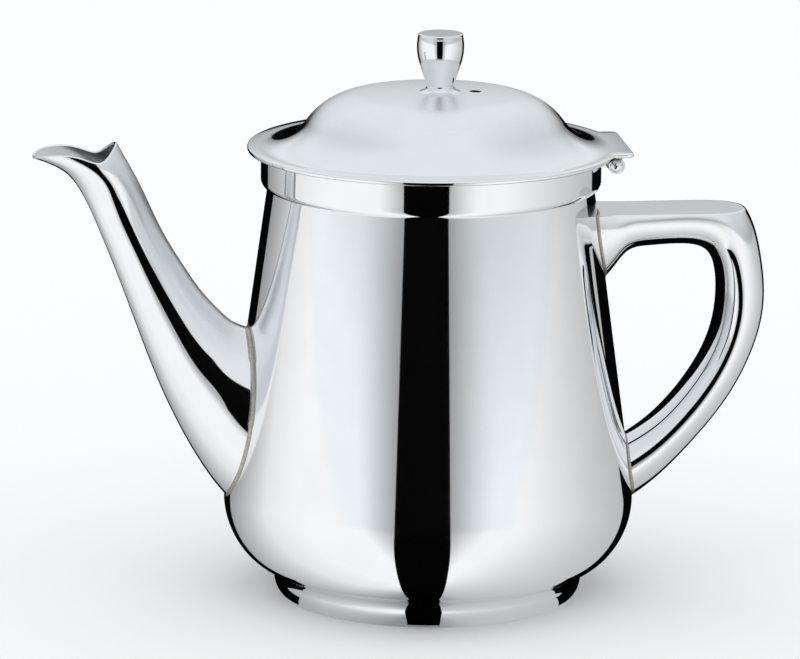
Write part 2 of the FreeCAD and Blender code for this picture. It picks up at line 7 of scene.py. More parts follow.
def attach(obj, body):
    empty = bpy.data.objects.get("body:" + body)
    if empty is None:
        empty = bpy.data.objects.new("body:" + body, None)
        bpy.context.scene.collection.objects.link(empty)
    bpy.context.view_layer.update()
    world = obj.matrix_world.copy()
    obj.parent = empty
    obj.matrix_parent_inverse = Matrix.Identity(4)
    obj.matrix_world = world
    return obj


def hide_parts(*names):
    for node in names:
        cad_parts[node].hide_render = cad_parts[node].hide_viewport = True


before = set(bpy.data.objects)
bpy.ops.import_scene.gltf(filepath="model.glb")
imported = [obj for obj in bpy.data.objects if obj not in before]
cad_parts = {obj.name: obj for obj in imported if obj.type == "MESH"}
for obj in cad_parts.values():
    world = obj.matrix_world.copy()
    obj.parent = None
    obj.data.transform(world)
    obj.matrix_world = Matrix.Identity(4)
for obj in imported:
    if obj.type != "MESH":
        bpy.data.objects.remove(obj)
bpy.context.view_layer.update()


# Body: a deep cup drawn from one-millimetre stainless sheet, necked in above a rolled groove.
# The outside is buffed to a mirror, the inside is left satin, and an oval is cut where the spout
# joins. Everything else on the pot is welded or brazed to it.

MM = 0.001
WALL = 1.0
RIM_HEIGHT = 130.7
NECK_RADIUS = 49.1
NECK_ROUND = 2.2
GROOVE = (47.15, 120.4)
CONE_END = (59.25, 32.2)
BELLY_ROUND = 23.8
BASE_ROUND = 19.5
BASE_HEIGHT = 6.8
BODY_STEPS = 180
OPENING_HEIGHT = 54.0
OPENING_HALF = (11.0, 17.0)


def straight(start, end, step=1.0):
    """Points of a straight run in an outline, close enough to shade evenly."""
    start, end = np.array(start, float), np.array(end, float)
    count = max(1, math.ceil(np.linalg.norm(end - start) / step))
    return start + (end - start) * np.linspace(0, 1, count + 1)[:, None]


def arc(centre, radius, first, last, step=0.5):
    """Points of a round in an outline, from one angle to another in radians."""
    count = max(4, math.ceil(abs(last - first) * radius / step), math.ceil(abs(last - first) / 0.05))
    angles = np.linspace(first, last, count + 1)
    return np.array(centre) + radius * np.stack([np.cos(angles), np.sin(angles)], axis=1)


def round_between(start, end, radius, turn):
    """Points of a round of known radius between two points; turn +1 goes counter-clockwise."""
    start, end = np.array(start, float), np.array(end, float)
    chord = end - start
    half = np.linalg.norm(chord) / 2
    left = np.array([-chord[1], chord[0]]) / (2 * half)
    centre = (start + end) / 2 + left * turn * math.sqrt(radius ** 2 - half ** 2)
    first = math.atan2(*(start - centre)[::-1])
    last = math.atan2(*(end - centre)[::-1])
    if turn > 0 and last < first:
        last += 2 * math.pi
    if turn < 0 and last > first:
        last -= 2 * math.pi
    return arc(centre, radius, first, last)


def joined(*runs):
    """One outline from runs that meet end to end."""
    points = np.concatenate(runs)
    fresh = np.ones(len(points), bool)
    fresh[1:] = np.linalg.norm(np.diff(points, axis=0), axis=1) > 1e-6
    return points[fresh]


def pot_outline(inset):
    """Radius and height of the pot's surface, from the middle of its bottom to the rim."""
    groove = np.array([GROOVE[0] - 1.2 * inset, GROOVE[1] + 1.4 * inset])
    cone_end = np.array([CONE_END[0] - inset, CONE_END[1]])
    belly, base, neck = BELLY_ROUND - inset, BASE_ROUND - inset, NECK_ROUND - inset
    down = (cone_end - groove) / np.linalg.norm(cone_end - groove)
    slope = math.atan2(down[0], -down[1])
    belly_centre = cone_end - belly * np.array([math.cos(slope), math.sin(slope)])
    base_height = BASE_HEIGHT + inset + base
    turn_over = math.asin((base_height - belly_centre[1]) / (belly - base))
    base_centre = np.array([belly_centre[0] + (belly - base) * math.cos(turn_over), base_height])
    neck_radius = NECK_RADIUS - inset
    neck_x = neck_radius - neck
    neck_z = groove[1] + math.sqrt(neck ** 2 - (groove[0] - neck_x) ** 2)
    neck_start = math.atan2(groove[1] - neck_z, groove[0] - neck_x)
    return joined(
        straight((0, BASE_HEIGHT + inset), (base_centre[0], BASE_HEIGHT + inset), 3.0),
        arc(base_centre, base, -math.pi / 2, turn_over),
        arc(belly_centre, belly, turn_over, slope),
        straight(cone_end, groove),
        arc((neck_x, neck_z), neck, neck_start, 0, 0.1),
        straight((neck_radius, neck_z), (neck_radius, RIM_HEIGHT - WALL / 2)),
    )


def finished(name, mesh, sharp=35):
    """Object in the shared frame from a mesh, smooth but for edges sharper than an angle."""
    mesh.name = name
    mesh.shade_smooth()
    mesh.set_sharp_from_angle(angle=math.radians(sharp))
    piece = bpy.data.objects.new(name, mesh)
    bpy.context.scene.collection.objects.link(piece)
    return piece


def new_piece(name, vertices, faces, materials, sharp=35):
    """Object in the shared frame from points in millimetres and the faces between them."""
    mesh = bpy.data.meshes.new(name)
    mesh.from_pydata((np.asarray(vertices) * MM).tolist(), [], faces)
    for material in materials:
        mesh.materials.append(material)
    return finished(name, mesh, sharp)


def linear(code):
    """Linear colour of an sRGB hex code."""
    parts = [int(code[at:at + 2], 16) / 255 for at in (1, 3, 5)]
    return tuple(p / 12.92 if p <= 0.04045 else ((p + 0.055) / 1.055) ** 2.4 for p in parts) + (1.0,)


def add(tree, kind, inputs, **settings):
    """A node with its settings; an input given as a socket is linked, anything else is set on the socket."""
    made = tree.nodes.new(kind)
    for name, value in settings.items():
        setattr(made, name, value)
    for name, value in inputs.items():
        if isinstance(value, bpy.types.NodeSocket):
            tree.links.new(value, made.inputs[name])
        else:
            made.inputs[name].default_value = value
    return made


def per_mm(size):
    """Noise scale, per metre, whose features are about this many millimetres across."""
    return 1 / (size * MM)


def new_material(name):
    """An empty material and its node tree."""
    material = bpy.data.materials.new(name)
    material.use_nodes = True
    material.node_tree.nodes.clear()
    return material, material.node_tree


def buffed(tree, haze, gloss):
    """Finishes a polished steel: bright metal whose tint drifts a little with the haze."""
    tint = add(tree, "ShaderNodeMix", {"Factor": haze, "A": linear("#F4F5F6"), "B": linear("#EEEFF1")},
               data_type="RGBA").outputs[2]
    shader = add(tree, "ShaderNodeBsdfPrincipled", {"Base Color": tint, "Metallic": 1.0, "Roughness": gloss})
    add(tree, "ShaderNodeOutputMaterial", {"Surface": shader.outputs[0]})


# Mirror-polished stainless 18/10: the buffing wheel leaves a near-perfect mirror with a faint haze that
# comes and goes over a centimetre or so.
HAZE_SIZE = 9.0
mirror_steel, tree = new_material("mirror_polished_stainless")
place = add(tree, "ShaderNodeTexCoord", {}).outputs["Object"]
haze = add(tree, "ShaderNodeTexNoise",
           {"Vector": place, "Scale": per_mm(HAZE_SIZE), "Detail": 3.0}).outputs["Fac"]
gloss = add(tree, "ShaderNodeMapRange", {"Value": haze, "To Min": 0.025, "To Max": 0.055}).outputs["Result"]
buffed(tree, haze, gloss)

# Satin stainless: the drawn inside, left with the fine rings of the polishing mop. They are drawn 0.4 mm
# apart and 50 mm long, coarser than the real ones, so that they show as a soft, streaked grey.
satin_steel, tree = new_material("satin_stainless_inside")
place = add(tree, "ShaderNodeTexCoord", {}).outputs["Object"]
rings = add(tree, "ShaderNodeMapping",
            {"Vector": place, "Scale": (per_mm(50), per_mm(50), per_mm(0.4))}).outputs[0]
lines = add(tree, "ShaderNodeTexNoise", {"Vector": rings, "Scale": 1.0, "Detail": 2.0}).outputs["Fac"]
gloss = add(tree, "ShaderNodeMapRange", {"Value": lines, "To Min": 0.22, "To Max": 0.36}).outputs["Result"]
shader = add(tree, "ShaderNodeBsdfPrincipled",
             {"Base Color": linear("#CFCFD0"), "Metallic": 1.0, "Roughness": gloss})
add(tree, "ShaderNodeOutputMaterial", {"Surface": shader.outputs[0]})

# Turning: swings an outline round the pot's axis into a closed solid, as a lathe or a spinning chuck does.
turning = bpy.data.node_groups.new("turned_on_axis", "GeometryNodeTree")
turning.interface.new_socket("Outline", in_out="INPUT", socket_type="NodeSocketGeometry")
turning.interface.new_socket("Points", in_out="INPUT", socket_type="NodeSocketInt")
turning.interface.new_socket("Steps", in_out="INPUT", socket_type="NodeSocketInt")
turning.interface.new_socket("Finish", in_out="INPUT", socket_type="NodeSocketMaterial")
turning.interface.new_socket("Solid", in_out="OUTPUT", socket_type="NodeSocketGeometry")
given = add(turning, "NodeGroupInput", {}).outputs
columns = add(turning, "FunctionNodeIntegerMath", {0: given["Steps"], 1: 1}, operation="ADD").outputs[0]
sheet = add(turning, "GeometryNodeMeshGrid",
            {"Vertices X": columns, "Vertices Y": given["Points"]}).outputs["Mesh"]
number = add(turning, "GeometryNodeInputIndex", {}).outputs[0]
column = add(turning, "FunctionNodeIntegerMath", {0: number, 1: given["Points"]},
             operation="DIVIDE_FLOOR").outputs[0]
row = add(turning, "FunctionNodeIntegerMath", {0: number, 1: given["Points"]}, operation="MODULO").outputs[0]
position = add(turning, "GeometryNodeInputPosition", {}).outputs[0]
point = add(turning, "GeometryNodeSampleIndex",
            {"Geometry": given["Outline"], "Value": position, "Index": row},
            data_type="FLOAT_VECTOR").outputs[0]
share = add(turning, "ShaderNodeMath", {0: column, 1: given["Steps"]}, operation="DIVIDE").outputs[0]
angle = add(turning, "ShaderNodeMath", {0: share, 1: 2 * math.pi}, operation="MULTIPLY").outputs[0]
swung = add(turning, "ShaderNodeVectorRotate", {"Vector": point, "Angle": angle},
            rotation_type="Z_AXIS").outputs[0]
skin = add(turning, "GeometryNodeSetPosition", {"Geometry": sheet, "Position": swung}).outputs[0]
closed = add(turning, "GeometryNodeMergeByDistance", {"Geometry": skin, "Distance": 1e-6}).outputs[0]
solid = add(turning, "GeometryNodeRealizeInstances", {"Geometry": closed}).outputs[0]
solid = add(turning, "GeometryNodeSetMaterial", {"Geometry": solid, "Material": given["Finish"]}).outputs[0]
add(turning, "NodeGroupOutput", {"Solid": solid})


def made_by(tree, start, sizes, materials):
    """Plain mesh that a node tree makes from a starting mesh, its inputs set by their identifiers."""
    sizes["Finish"] = materials[0]
    holder = bpy.data.objects.new("holder", start)
    bpy.context.scene.collection.objects.link(holder)
    maker = holder.modifiers.new("maker", "NODES")
    maker.node_group = tree
    for socket in tree.interface.items_tree:
        if socket.in_out == "INPUT" and socket.name in sizes:
            maker[socket.identifier] = sizes[socket.name]
    mesh = bpy.data.meshes.new_from_object(holder.evaluated_get(bpy.context.evaluated_depsgraph_get()))
    holder.modifiers.remove(maker)
    bpy.data.objects.remove(holder)
    mesh.materials.clear()
    for material in materials:
        mesh.materials.append(material)
    mesh.polygons.foreach_set("material_index", [0] * len(mesh.polygons))
    return mesh


def turned(name, outline, materials, place=(0.0, 0.0, 0.0), along="Z", steps=240):
    """Solid turned from an outline of (radius, place along the axis); it closes on the axis or on itself."""
    start = bpy.data.meshes.new(name)
    start.from_pydata([(radius * MM, 0, along_axis * MM) for radius, along_axis in outline], [], [])
    mesh = made_by(turning, start, {"Points": len(outline), "Steps": steps}, materials)
    if along == "Y":
        mesh.transform(Matrix.Rotation(-math.pi / 2, 4, "X"))
    mesh.transform(Matrix.Translation(Vector(place) * MM))
    return finished(name, mesh)


outside = pot_outline(0)
inside = pot_outline(WALL)
rim = arc((NECK_RADIUS - WALL / 2, RIM_HEIGHT - WALL / 2), WALL / 2, 0, math.pi)
cup = joined(outside, rim, inside[::-1])
body = turned("drawn_body", cup, [mirror_steel, satin_steel], steps=BODY_STEPS)
for face in body.data.polygons:
    faces_axis = face.normal.xy.dot(face.center.xy) < 0
    on_bottom = face.normal.z > 0.9 and face.center.z < 20 * MM
    face.material_index = 1 if faces_axis or on_bottom else 0


def cut_away(piece, cutter, finish=1):
    """Takes the cutter's shape out of a piece and leaves a plain mesh, the cut in one of its finishes."""
    cutter.data.polygons.foreach_set("material_index", [finish] * len(cutter.data.polygons))
    tool = piece.modifiers.new("cut", "BOOLEAN")
    tool.object = cutter
    tool.solver = "EXACT"
    done = bpy.data.meshes.new_from_object(piece.evaluated_get(bpy.context.evaluated_depsgraph_get()))
    piece.modifiers.remove(tool)
    done.set_sharp_from_angle(angle=math.radians(35))
    piece.data = done
    bpy.data.objects.remove(cutter)


opening = turned("opening", [(0, 0), (1, 0), (1, 80), (0, 80)], [satin_steel, satin_steel], steps=96)
across, tall = OPENING_HALF
opening.data.transform(Matrix.Diagonal((tall, across, 1, 1)))
opening.data.transform(Matrix.Rotation(-math.pi / 2, 4, "Y"))
opening.data.transform(Matrix.Translation((-20 * MM, 0, OPENING_HEIGHT * MM)))
cut_away(body, opening)
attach(body, "pot")
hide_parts("body_shell")


# Foot: a collar rolled from strip and welded under the base, so that the pot stands on a thin ring.
# The same mirror-polished stainless as the body; its weld is ground to a hollow sweep and buffed over.

FOOT_WALL = 1.6
FOOT_RADIUS = 42.5
FOOT_BEND = (44.75, 5.0)
FOOT_TOP = (46.96, 8.46)
foot_outside = joined(
    round_between((FOOT_RADIUS, 0.0), FOOT_BEND, 6.7, 1),
    round_between(FOOT_BEND, FOOT_TOP, 3.8, -1),
)
foot_inside = round_between((43.0, 7.6), (FOOT_RADIUS - FOOT_WALL, 0.0), 6.9, -1)
foot_outline = joined(foot_outside, [(46.5, 8.9)], foot_inside, foot_outside[:1])
foot = turned("rolled_foot", foot_outline, [mirror_steel])
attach(foot, "pot")
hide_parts("foot_ring")


# Spout: two pressed halves welded along the middle and polished until the joint is gone, then cut to
# an S-shaped pouring lip. It rises from a tall root on the belly to a beak level with the rim.

# Each section: the low point's x and z, the high point's x and z, and half the width.
SPOUT_SECTIONS = np.array([
    (-50.0, 22.0, -43.0, 76.0, 18.0),
    (-62.3, 33.6, -55.5, 80.3, 16.5),
    (-72.3, 49.9, -60.0, 83.5, 14.2),
    (-81.8, 71.5, -66.0, 90.0, 11.5),
    (-89.3, 92.0, -71.5, 98.0, 9.3),
    (-95.9, 108.9, -78.7, 110.4, 8.4),
    (-101.2, 120.4, -84.2, 122.3, 8.4),
    (-106.5, 126.7, -87.9, 129.2, 9.4),
    (-118.5, 131.6, -91.4, 135.6, 8.65),
])
SHEET = 1.0
LIP_CUT = np.array([
    (-121.0, 122.4), (-116.5, 129.15), (-112.0, 131.7), (-107.5, 132.2), (-103.0, 131.8),
    (-99.0, 130.5), (-95.5, 130.15), (-92.0, 133.2), (-88.5, 136.7),
])
LIP_BULGE = 0.3


def smooth_through(knots, values, at):
    """Smooth curve through section values, bent like a spline held at its knots."""
    count = len(knots)
    step = np.diff(knots)
    system = np.eye(count)
    pull = np.zeros((count, values.shape[1]))
    for k in range(1, count - 1):
        system[k, k - 1:k + 2] = step[k - 1], 2 * (step[k - 1] + step[k]), step[k]
        pull[k] = 6 * ((values[k + 1] - values[k]) / step[k] - (values[k] - values[k - 1]) / step[k - 1])
    bend = np.linalg.solve(system, pull)
    k = np.clip(np.searchsorted(knots, at) - 1, 0, count - 2)
    h = step[k][..., None]
    a = (knots[k + 1] - at)[..., None]
    b = (at - knots[k])[..., None]
    return (bend[k] * a ** 3 / (6 * h) + bend[k + 1] * b ** 3 / (6 * h)
            + (values[k] / h - bend[k] * h / 6) * a + (values[k + 1] / h - bend[k + 1] * h / 6) * b)


def oval_points(sections, growth, at, angle):
    """Points of the swept ovals at a place along the sweep and an angle round it from the high side."""
    ends = np.diff(sections[:, :4], axis=0)
    gaps = (np.hypot(ends[:, 0], ends[:, 1]) + np.hypot(ends[:, 2], ends[:, 3])) / 2
    knots = np.concatenate([[0], np.cumsum(gaps)]) / gaps.sum()
    low_x, low_z, high_x, high_z, wide = np.moveaxis(smooth_through(knots, sections, at), -1, 0)
    half_x, half_z = (high_x - low_x) / 2, (high_z - low_z) / 2
    grown = 1 + growth / np.hypot(half_x, half_z)
    x = (low_x + high_x) / 2 + half_x * grown * np.cos(angle)
    z = (low_z + high_z) / 2 + half_z * grown * np.cos(angle)
    return np.stack([x, (wide + growth) * np.sin(angle), z], axis=-1)


def crossing(places, signed, last):
    """For each column, the place where a signed distance changes from minus to plus."""
    found = np.zeros(signed.shape[1])
    for column in range(signed.shape[1]):
        changes = np.nonzero((signed[:-1, column] < 0) & (signed[1:, column] >= 0))[0]
        k = changes[-1] if last else changes[0]
        before, after = signed[k, column], signed[k + 1, column]
        found[column] = places[k] + (places[k + 1] - places[k]) * before / (before - after)
    return found


def above_pot(points):
    """How far points stand outside the pot's surface, measured level."""
    return np.hypot(points[..., 0], points[..., 1]) - np.interp(points[..., 2], outside[:, 1], outside[:, 0])


def half_shell(name, outer, inner, mouth, columns, materials, flip):
    """One pressed half of a tube: outer and inner skins, the edges between them, and a rounded mouth."""
    skin, lining = outer[:, columns], inner[:, columns]
    rim = np.concatenate([skin[-1:], mouth[:, columns], lining[-1:]])
    around = outer - np.roll(outer, 1, axis=1) + np.roll(outer, -1, axis=1) - outer
    facing = np.cross(np.gradient(outer, axis=0), around)
    facing /= np.linalg.norm(facing, axis=-1, keepdims=True) * (-1 if flip else 1)
    patches = [
        (skin, facing[:, columns]),
        (lining[::-1], None),
        (rim, None),
        (np.stack([lining[0], skin[0]]), None),
        (np.stack([skin[:, -1], lining[:, -1]], axis=1), None),
        (np.stack([lining[:, 0], skin[:, 0]], axis=1), None),
    ]
    points = np.concatenate([patch.reshape(-1, 3) for patch, _ in patches])
    keys, index = np.unique(np.round(points * 1e5).astype(np.int64), axis=0, return_inverse=True)
    index = index.ravel()
    faces, normals, finishes, start = [], [], [], 0
    for number, (patch, wanted) in enumerate(patches):
        rows, cols = patch.shape[:2]
        finishes += [1 if number == 1 else 0] * (rows - 1) * (cols - 1)
        for i in range(rows - 1):
            for j in range(cols - 1):
                cell = [(i, j), (i + 1, j), (i + 1, j + 1), (i, j + 1)]
                cell = cell[::-1] if flip else cell
                faces.append([int(index[start + a * cols + b]) for a, b in cell])
                normals += [(0, 0, 0) if wanted is None else tuple(wanted[c]) for c in cell]
        start += rows * cols
    if len(rim) > 2:
        rim_start = len(skin) * skin.shape[1] * 2
        for column, forward in ((0, True), (skin.shape[1] - 1, False)):
            ring = [int(index[rim_start + row * skin.shape[1] + column]) for row in range(len(rim))]
            faces.append(ring if forward == flip else ring[::-1])
            normals += [(0, 0, 0)] * len(ring)
            finishes.append(0)
    piece = new_piece(name, keys / 1e5, faces, materials, 50)
    piece.data.polygons.foreach_set("material_index", finishes)
    piece.data.normals_split_custom_set(normals)
    return piece


ROUND = 128
ALONG = 220
angles = np.arange(ROUND) * 2 * math.pi / ROUND
near_columns = list(range(ROUND // 2, ROUND)) + [0]
far_columns = list(range(0, ROUND // 2 + 1))
places = np.linspace(0, 1, 1500)


def lip_height(x):
    """Height of the pouring lip's S-shaped cut at places along the spout."""
    at = np.clip(x, LIP_CUT[0, 0], LIP_CUT[-1, 0])
    return smooth_through(LIP_CUT[:, 0], LIP_CUT[:, 1:], at)[..., 0] + 20 * (x > LIP_CUT[-1, 0])


def spout_skin(growth):
    """Spout surface from the pot's wall to the pouring lip."""
    whole = oval_points(SPOUT_SECTIONS, growth, places[:, None] + 0 * angles, angles)
    leaves = crossing(places, above_pot(whole), True)
    ends = crossing(places, whole[..., 2] - lip_height(whole[..., 0]), False)
    spread = np.linspace(0, 1, ALONG)[:, None]
    return oval_points(SPOUT_SECTIONS, growth, leaves + (ends - leaves) * spread, angles)


# Polished spout: the same mirror, but hazier on the side turned to the pot, where the wheel cannot reach,
# so that side shows soft tones and no sharp reflections of the pot.
spout_steel, tree = new_material("polished_spout_stainless")
place = add(tree, "ShaderNodeTexCoord", {}).outputs["Object"]
haze = add(tree, "ShaderNodeTexNoise",
           {"Vector": place, "Scale": per_mm(HAZE_SIZE), "Detail": 3.0}).outputs["Fac"]
facing = add(tree, "ShaderNodeNewGeometry", {}).outputs["Normal"]
inward = add(tree, "ShaderNodeSeparateXYZ", {"Vector": facing}).outputs["X"]
hidden = add(tree, "ShaderNodeMapRange",
             {"Value": inward, "From Min": 0.2, "From Max": 0.6, "To Min": 0.04, "To Max": 0.36},
             interpolation_type="SMOOTHSTEP").outputs["Result"]
gloss = add(tree, "ShaderNodeMath", {0: haze, 1: 0.02, 2: hidden}, operation="MULTIPLY_ADD").outputs[0]
buffed(tree, haze, gloss)

spout_outer, spout_inner = spout_skin(0), spout_skin(-SHEET)
lip_edge = []
middle = (spout_outer[-1] + spout_inner[-1]) / 2
slope = (lip_height(middle[:, 0] + 0.1) - lip_height(middle[:, 0] - 0.1)) / 0.2
up = np.stack([-slope, 0 * slope, 1 + 0 * slope], axis=1) / np.hypot(slope, 1)[:, None]
for turn in np.radians((30, 60, 90, 120, 150)):
    lip_edge.append(middle + (spout_outer[-1] - middle) * math.cos(turn) + up * LIP_BULGE * math.sin(turn))
lip_edge = np.array(lip_edge)
for name, node, columns in (("spout_near_half", "spout_left_half", near_columns),
                            ("spout_far_half", "spout_right_half", far_columns)):
    half = half_shell(name, spout_outer, spout_inner, lip_edge, columns, [spout_steel, satin_steel], True)
    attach(half, "pot")
    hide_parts(node)


# Spout seam: the weld round the spout's root, ground back to a small hollow fillet and left brushed.
# It is a little warmer than the polished sheet on both sides of it, and narrows towards the bottom.

# Ground stainless weld: straw-grey, with the grit marks of the grinder that keep it from mirroring.
weld_steel, tree = new_material("ground_stainless_weld")
place = add(tree, "ShaderNodeTexCoord", {}).outputs["Object"]
marks = add(tree, "ShaderNodeTexNoise", {"Vector": place, "Scale": per_mm(0.8), "Detail": 4.0}).outputs["Fac"]
tone = add(tree, "ShaderNodeMix", {"Factor": marks, "A": linear("#8E8880"), "B": linear("#D3CEC6")},
           data_type="RGBA").outputs[2]
dent = add(tree, "ShaderNodeBump", {"Height": marks, "Strength": 0.4, "Distance": 0.0002}).outputs[0]
shader = add(tree, "ShaderNodeBsdfPrincipled",
             {"Base Color": tone, "Metallic": 1.0, "Roughness": 0.34, "Normal": dent})
add(tree, "ShaderNodeOutputMaterial", {"Surface": shader.outputs[0]})

FILLET_STEPS = 8


def pot_facing(points):
    """The pot's outward direction at points on it."""
    reach = 0.2
    higher = np.interp(points[:, 2] + reach, outside[:, 1], outside[:, 0])
    lower = np.interp(points[:, 2] - reach, outside[:, 1], outside[:, 0])
    lean = (lower - higher) / (2 * reach)
    level = points[:, :2] / np.linalg.norm(points[:, :2], axis=1, keepdims=True)
    return np.concatenate([level, lean[:, None]], axis=1) / np.hypot(1, lean)[:, None]


def weld_seam(name, skin, on_pot, on_tube, materials):
    """Hollow fillet round the root of a tube; skin's rows start on the pot."""
    root = skin[0]
    wall = pot_facing(root)
    around = np.roll(root, -1, axis=0) - np.roll(root, 1, axis=0)
    away = np.cross(around, wall)
    away /= np.linalg.norm(away, axis=1, keepdims=True)
    outward = np.sign(np.sum(away * (root - root.mean(axis=0)), axis=1))
    foot = root + away * (outward * on_pot)[:, None]
    reach = np.hypot(foot[:, 0], foot[:, 1])
    foot[:, :2] *= ((reach - above_pot(foot)) / reach)[:, None]
    walked = np.cumsum(np.linalg.norm(np.diff(skin, axis=0), axis=2), axis=0)
    row = np.argmax(walked > on_tube, axis=0) + 1
    top = skin[row, np.arange(skin.shape[1])]
    rings = []
    for along in np.linspace(0, 1, FILLET_STEPS):
        rings.append((1 - along) ** 2 * foot + 2 * along * (1 - along) * root + along ** 2 * top)
    rings.append(root - wall * 0.4)
    return ring_solid(name, rings, materials)


def ring_solid(name, rings, materials):
    """Solid whose skin runs through closed rings of points and back to the first, facing outwards."""
    vertices = np.concatenate(rings)
    count = len(rings[0])
    faces = []
    for ring in range(len(rings)):
        after = (ring + 1) % len(rings)
        for k in range(count):
            n = (k + 1) % count
            faces.append((ring * count + k, ring * count + n, after * count + n, after * count + k))
    piece = new_piece(name, vertices, faces, materials)
    if volume_of(vertices, faces) < 0:
        piece.data.flip_normals()
    return piece


def volume_of(vertices, faces):
    """Signed volume inside faces, positive where they face outwards."""
    v = np.asarray(vertices)
    f = np.array(faces)
    return sum(np.sum(v[f[:, 0]] * np.cross(v[f[:, a]], v[f[:, b]])) for a, b in ((1, 2), (2, 3))) / 6


narrowing = 0.7 + 0.3 * np.cos(angles)
spout_seam = weld_seam("spout_seam", spout_outer, 1.3 * narrowing, 1.2 * narrowing, [weld_steel])
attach(spout_seam, "pot")
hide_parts("spout_weld_seam")


# Handle: two pressed halves welded into a hollow bow and polished, the top of the bar sliced flat as a
# thumb rest. It springs from the pot under the groove and lands on the belly.

HANDLE_SECTIONS = np.array([
    (40.0, 84.0, 40.0, 126.0, 13.0),
    (49.5, 91.5, 49.5, 122.0, 12.0),
    (53.1, 95.6, 53.1, 119.8, 11.4),
    (57.0, 100.3, 57.0, 118.7, 11.0),
    (63.2, 102.0, 63.2, 118.5, 10.8),
    (73.7, 102.4, 74.6, 119.0, 10.8),
    (80.2, 100.6, 88.9, 116.0, 11.0),
    (83.6, 93.6, 96.8, 98.5, 10.6),
    (83.4, 81.1, 97.3, 79.9, 10.4),
    (78.9, 68.2, 90.7, 61.8, 10.3),
    (67.9, 53.5, 77.8, 44.0, 10.3),
    (58.9, 46.4, 65.6, 31.7, 10.3),
    (48.0, 40.3, 53.7, 23.7, 10.3),
])
THUMB_REST = 112.8
THUMB_EDGE = 0.6
HANDLE_ROUND = 160
HANDLE_ALONG = 300
handle_angles = np.arange(HANDLE_ROUND) * 2 * math.pi / HANDLE_ROUND


def handle_points(growth, at):
    """Swept ovals of the handle with everything above the thumb rest pressed flat, its edge eased."""
    points = oval_points(HANDLE_SECTIONS, growth, at, handle_angles)
    level = THUMB_REST + growth
    share = np.clip(0.5 + (level - points[..., 2]) / (2 * THUMB_EDGE), 0, 1)
    points[..., 2] = level * (1 - share) + points[..., 2] * share - THUMB_EDGE * share * (1 - share)
    return points


def handle_skin(growth):
    """Handle surface from its upper root to its lower one."""
    whole = handle_points(growth, places[:, None] + 0 * handle_angles)
    clear = above_pot(whole)
    leaves = crossing(places, clear, False)
    lands = 1 - crossing(1 - places[::-1], clear[::-1], False)
    spread = np.linspace(0, 1, HANDLE_ALONG)[:, None]
    return handle_points(growth, leaves + (lands - leaves) * spread)


handle_outer, handle_inner = handle_skin(0), handle_skin(-SHEET)
half_turn = HANDLE_ROUND // 2
no_mouth = handle_outer[:0]
for name, node, columns in (
    ("handle_near_half", "handle_left_half", list(range(half_turn, HANDLE_ROUND)) + [0]),
    ("handle_far_half", "handle_right_half", list(range(half_turn + 1))),
):
    half = half_shell(name, handle_outer, handle_inner, no_mouth, columns, [mirror_steel, satin_steel], False)
    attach(half, "pot")
    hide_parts(node)


# Handle seams: the welds round the handle's two roots, ground to a hollow like the spout's but finer.
# The same brushed weld metal.

for name, node, skin in (("handle_upper_seam", "handle_upper_weld", handle_outer),
                         ("handle_lower_seam", "handle_lower_weld", handle_outer[::-1])):
    seam = weld_seam(name, skin, 0.7, 0.6, [weld_steel])
    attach(seam, "pot")
    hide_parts(node)


# Lid: a dished stainless sheet with a low crown, a hollow sweep down to a flat brim, and a tab over the
# hinge. A small vent is punched beside the knob. Polished outside and left satin below.

LID_SHEET = 1.2
LID_CENTRE = 1.2
BRIM_TOP = 132.2
BRIM_CENTRE, BRIM_RADIUS = 0.6, 53.6
CROWN_TOP = 148.1
CROWN_ROUND = 300.0
CROWN_EDGE = 22.6
SHOULDER_ROUND = 20.0
BRIM_SWEEP = 16.4
TAB_REACH, TAB_HALF, TAB_CORNER = 56.6, 17.2, 2.0
BRIM_EDGE = 0.35
VENT_X, VENT_RADIUS = 12.6, 1.7


def lid_outline(drop):
    """Radius and height of the lid's sheet from its middle out to the flat brim."""
    crown, shoulder, sweep = CROWN_ROUND - drop, SHOULDER_ROUND - drop, BRIM_SWEEP + drop
    crown_turn = math.asin(CROWN_EDGE / CROWN_ROUND)
    crown_centre = np.array([0, CROWN_TOP - CROWN_ROUND])
    lean = np.array([math.sin(crown_turn), math.cos(crown_turn)])
    shoulder_centre = crown_centre + (crown - shoulder) * lean
    sweep_height = BRIM_TOP - drop + sweep
    rise = sweep_height - shoulder_centre[1]
    reach = math.sqrt((shoulder + sweep) ** 2 - rise ** 2)
    meet = math.atan2(rise, reach)
    sweep_centre = shoulder_centre + np.array([reach, rise])
    return joined(
        arc(crown_centre, crown, math.pi / 2, math.pi / 2 - crown_turn, 0.8),
        arc(shoulder_centre, shoulder, math.pi / 2 - crown_turn, meet),
        arc(sweep_centre, sweep, math.pi + meet, 1.5 * math.pi),
    )


def lid_edge():
    """Plan of the brim with its tab, counter-clockwise from the middle of the tab's end."""
    side = math.asin(TAB_HALF / BRIM_RADIUS)
    corner = (TAB_REACH - TAB_CORNER, TAB_HALF - TAB_CORNER)
    half = joined(
        straight((TAB_REACH, 0), (TAB_REACH, corner[1]), 0.6),
        arc(corner, TAB_CORNER, 0, math.pi / 2, 0.3),
        straight((corner[0], TAB_HALF), (BRIM_CENTRE + BRIM_RADIUS * math.cos(side), TAB_HALF), 0.5),
        arc((BRIM_CENTRE, 0), BRIM_RADIUS, side, math.pi, 0.9),
    )
    return joined(half, half[-2:0:-1] * (1, -1))


edge = lid_edge()
along_edge = np.roll(edge, -1, axis=0) - np.roll(edge, 1, axis=0)
edge_facing = np.stack([along_edge[:, 1], -along_edge[:, 0]], axis=1)
edge_facing /= np.linalg.norm(edge_facing, axis=1, keepdims=True)
edge_angle = np.arctan2(edge[:, 1], edge[:, 0] - LID_CENTRE)
lid_rings = []


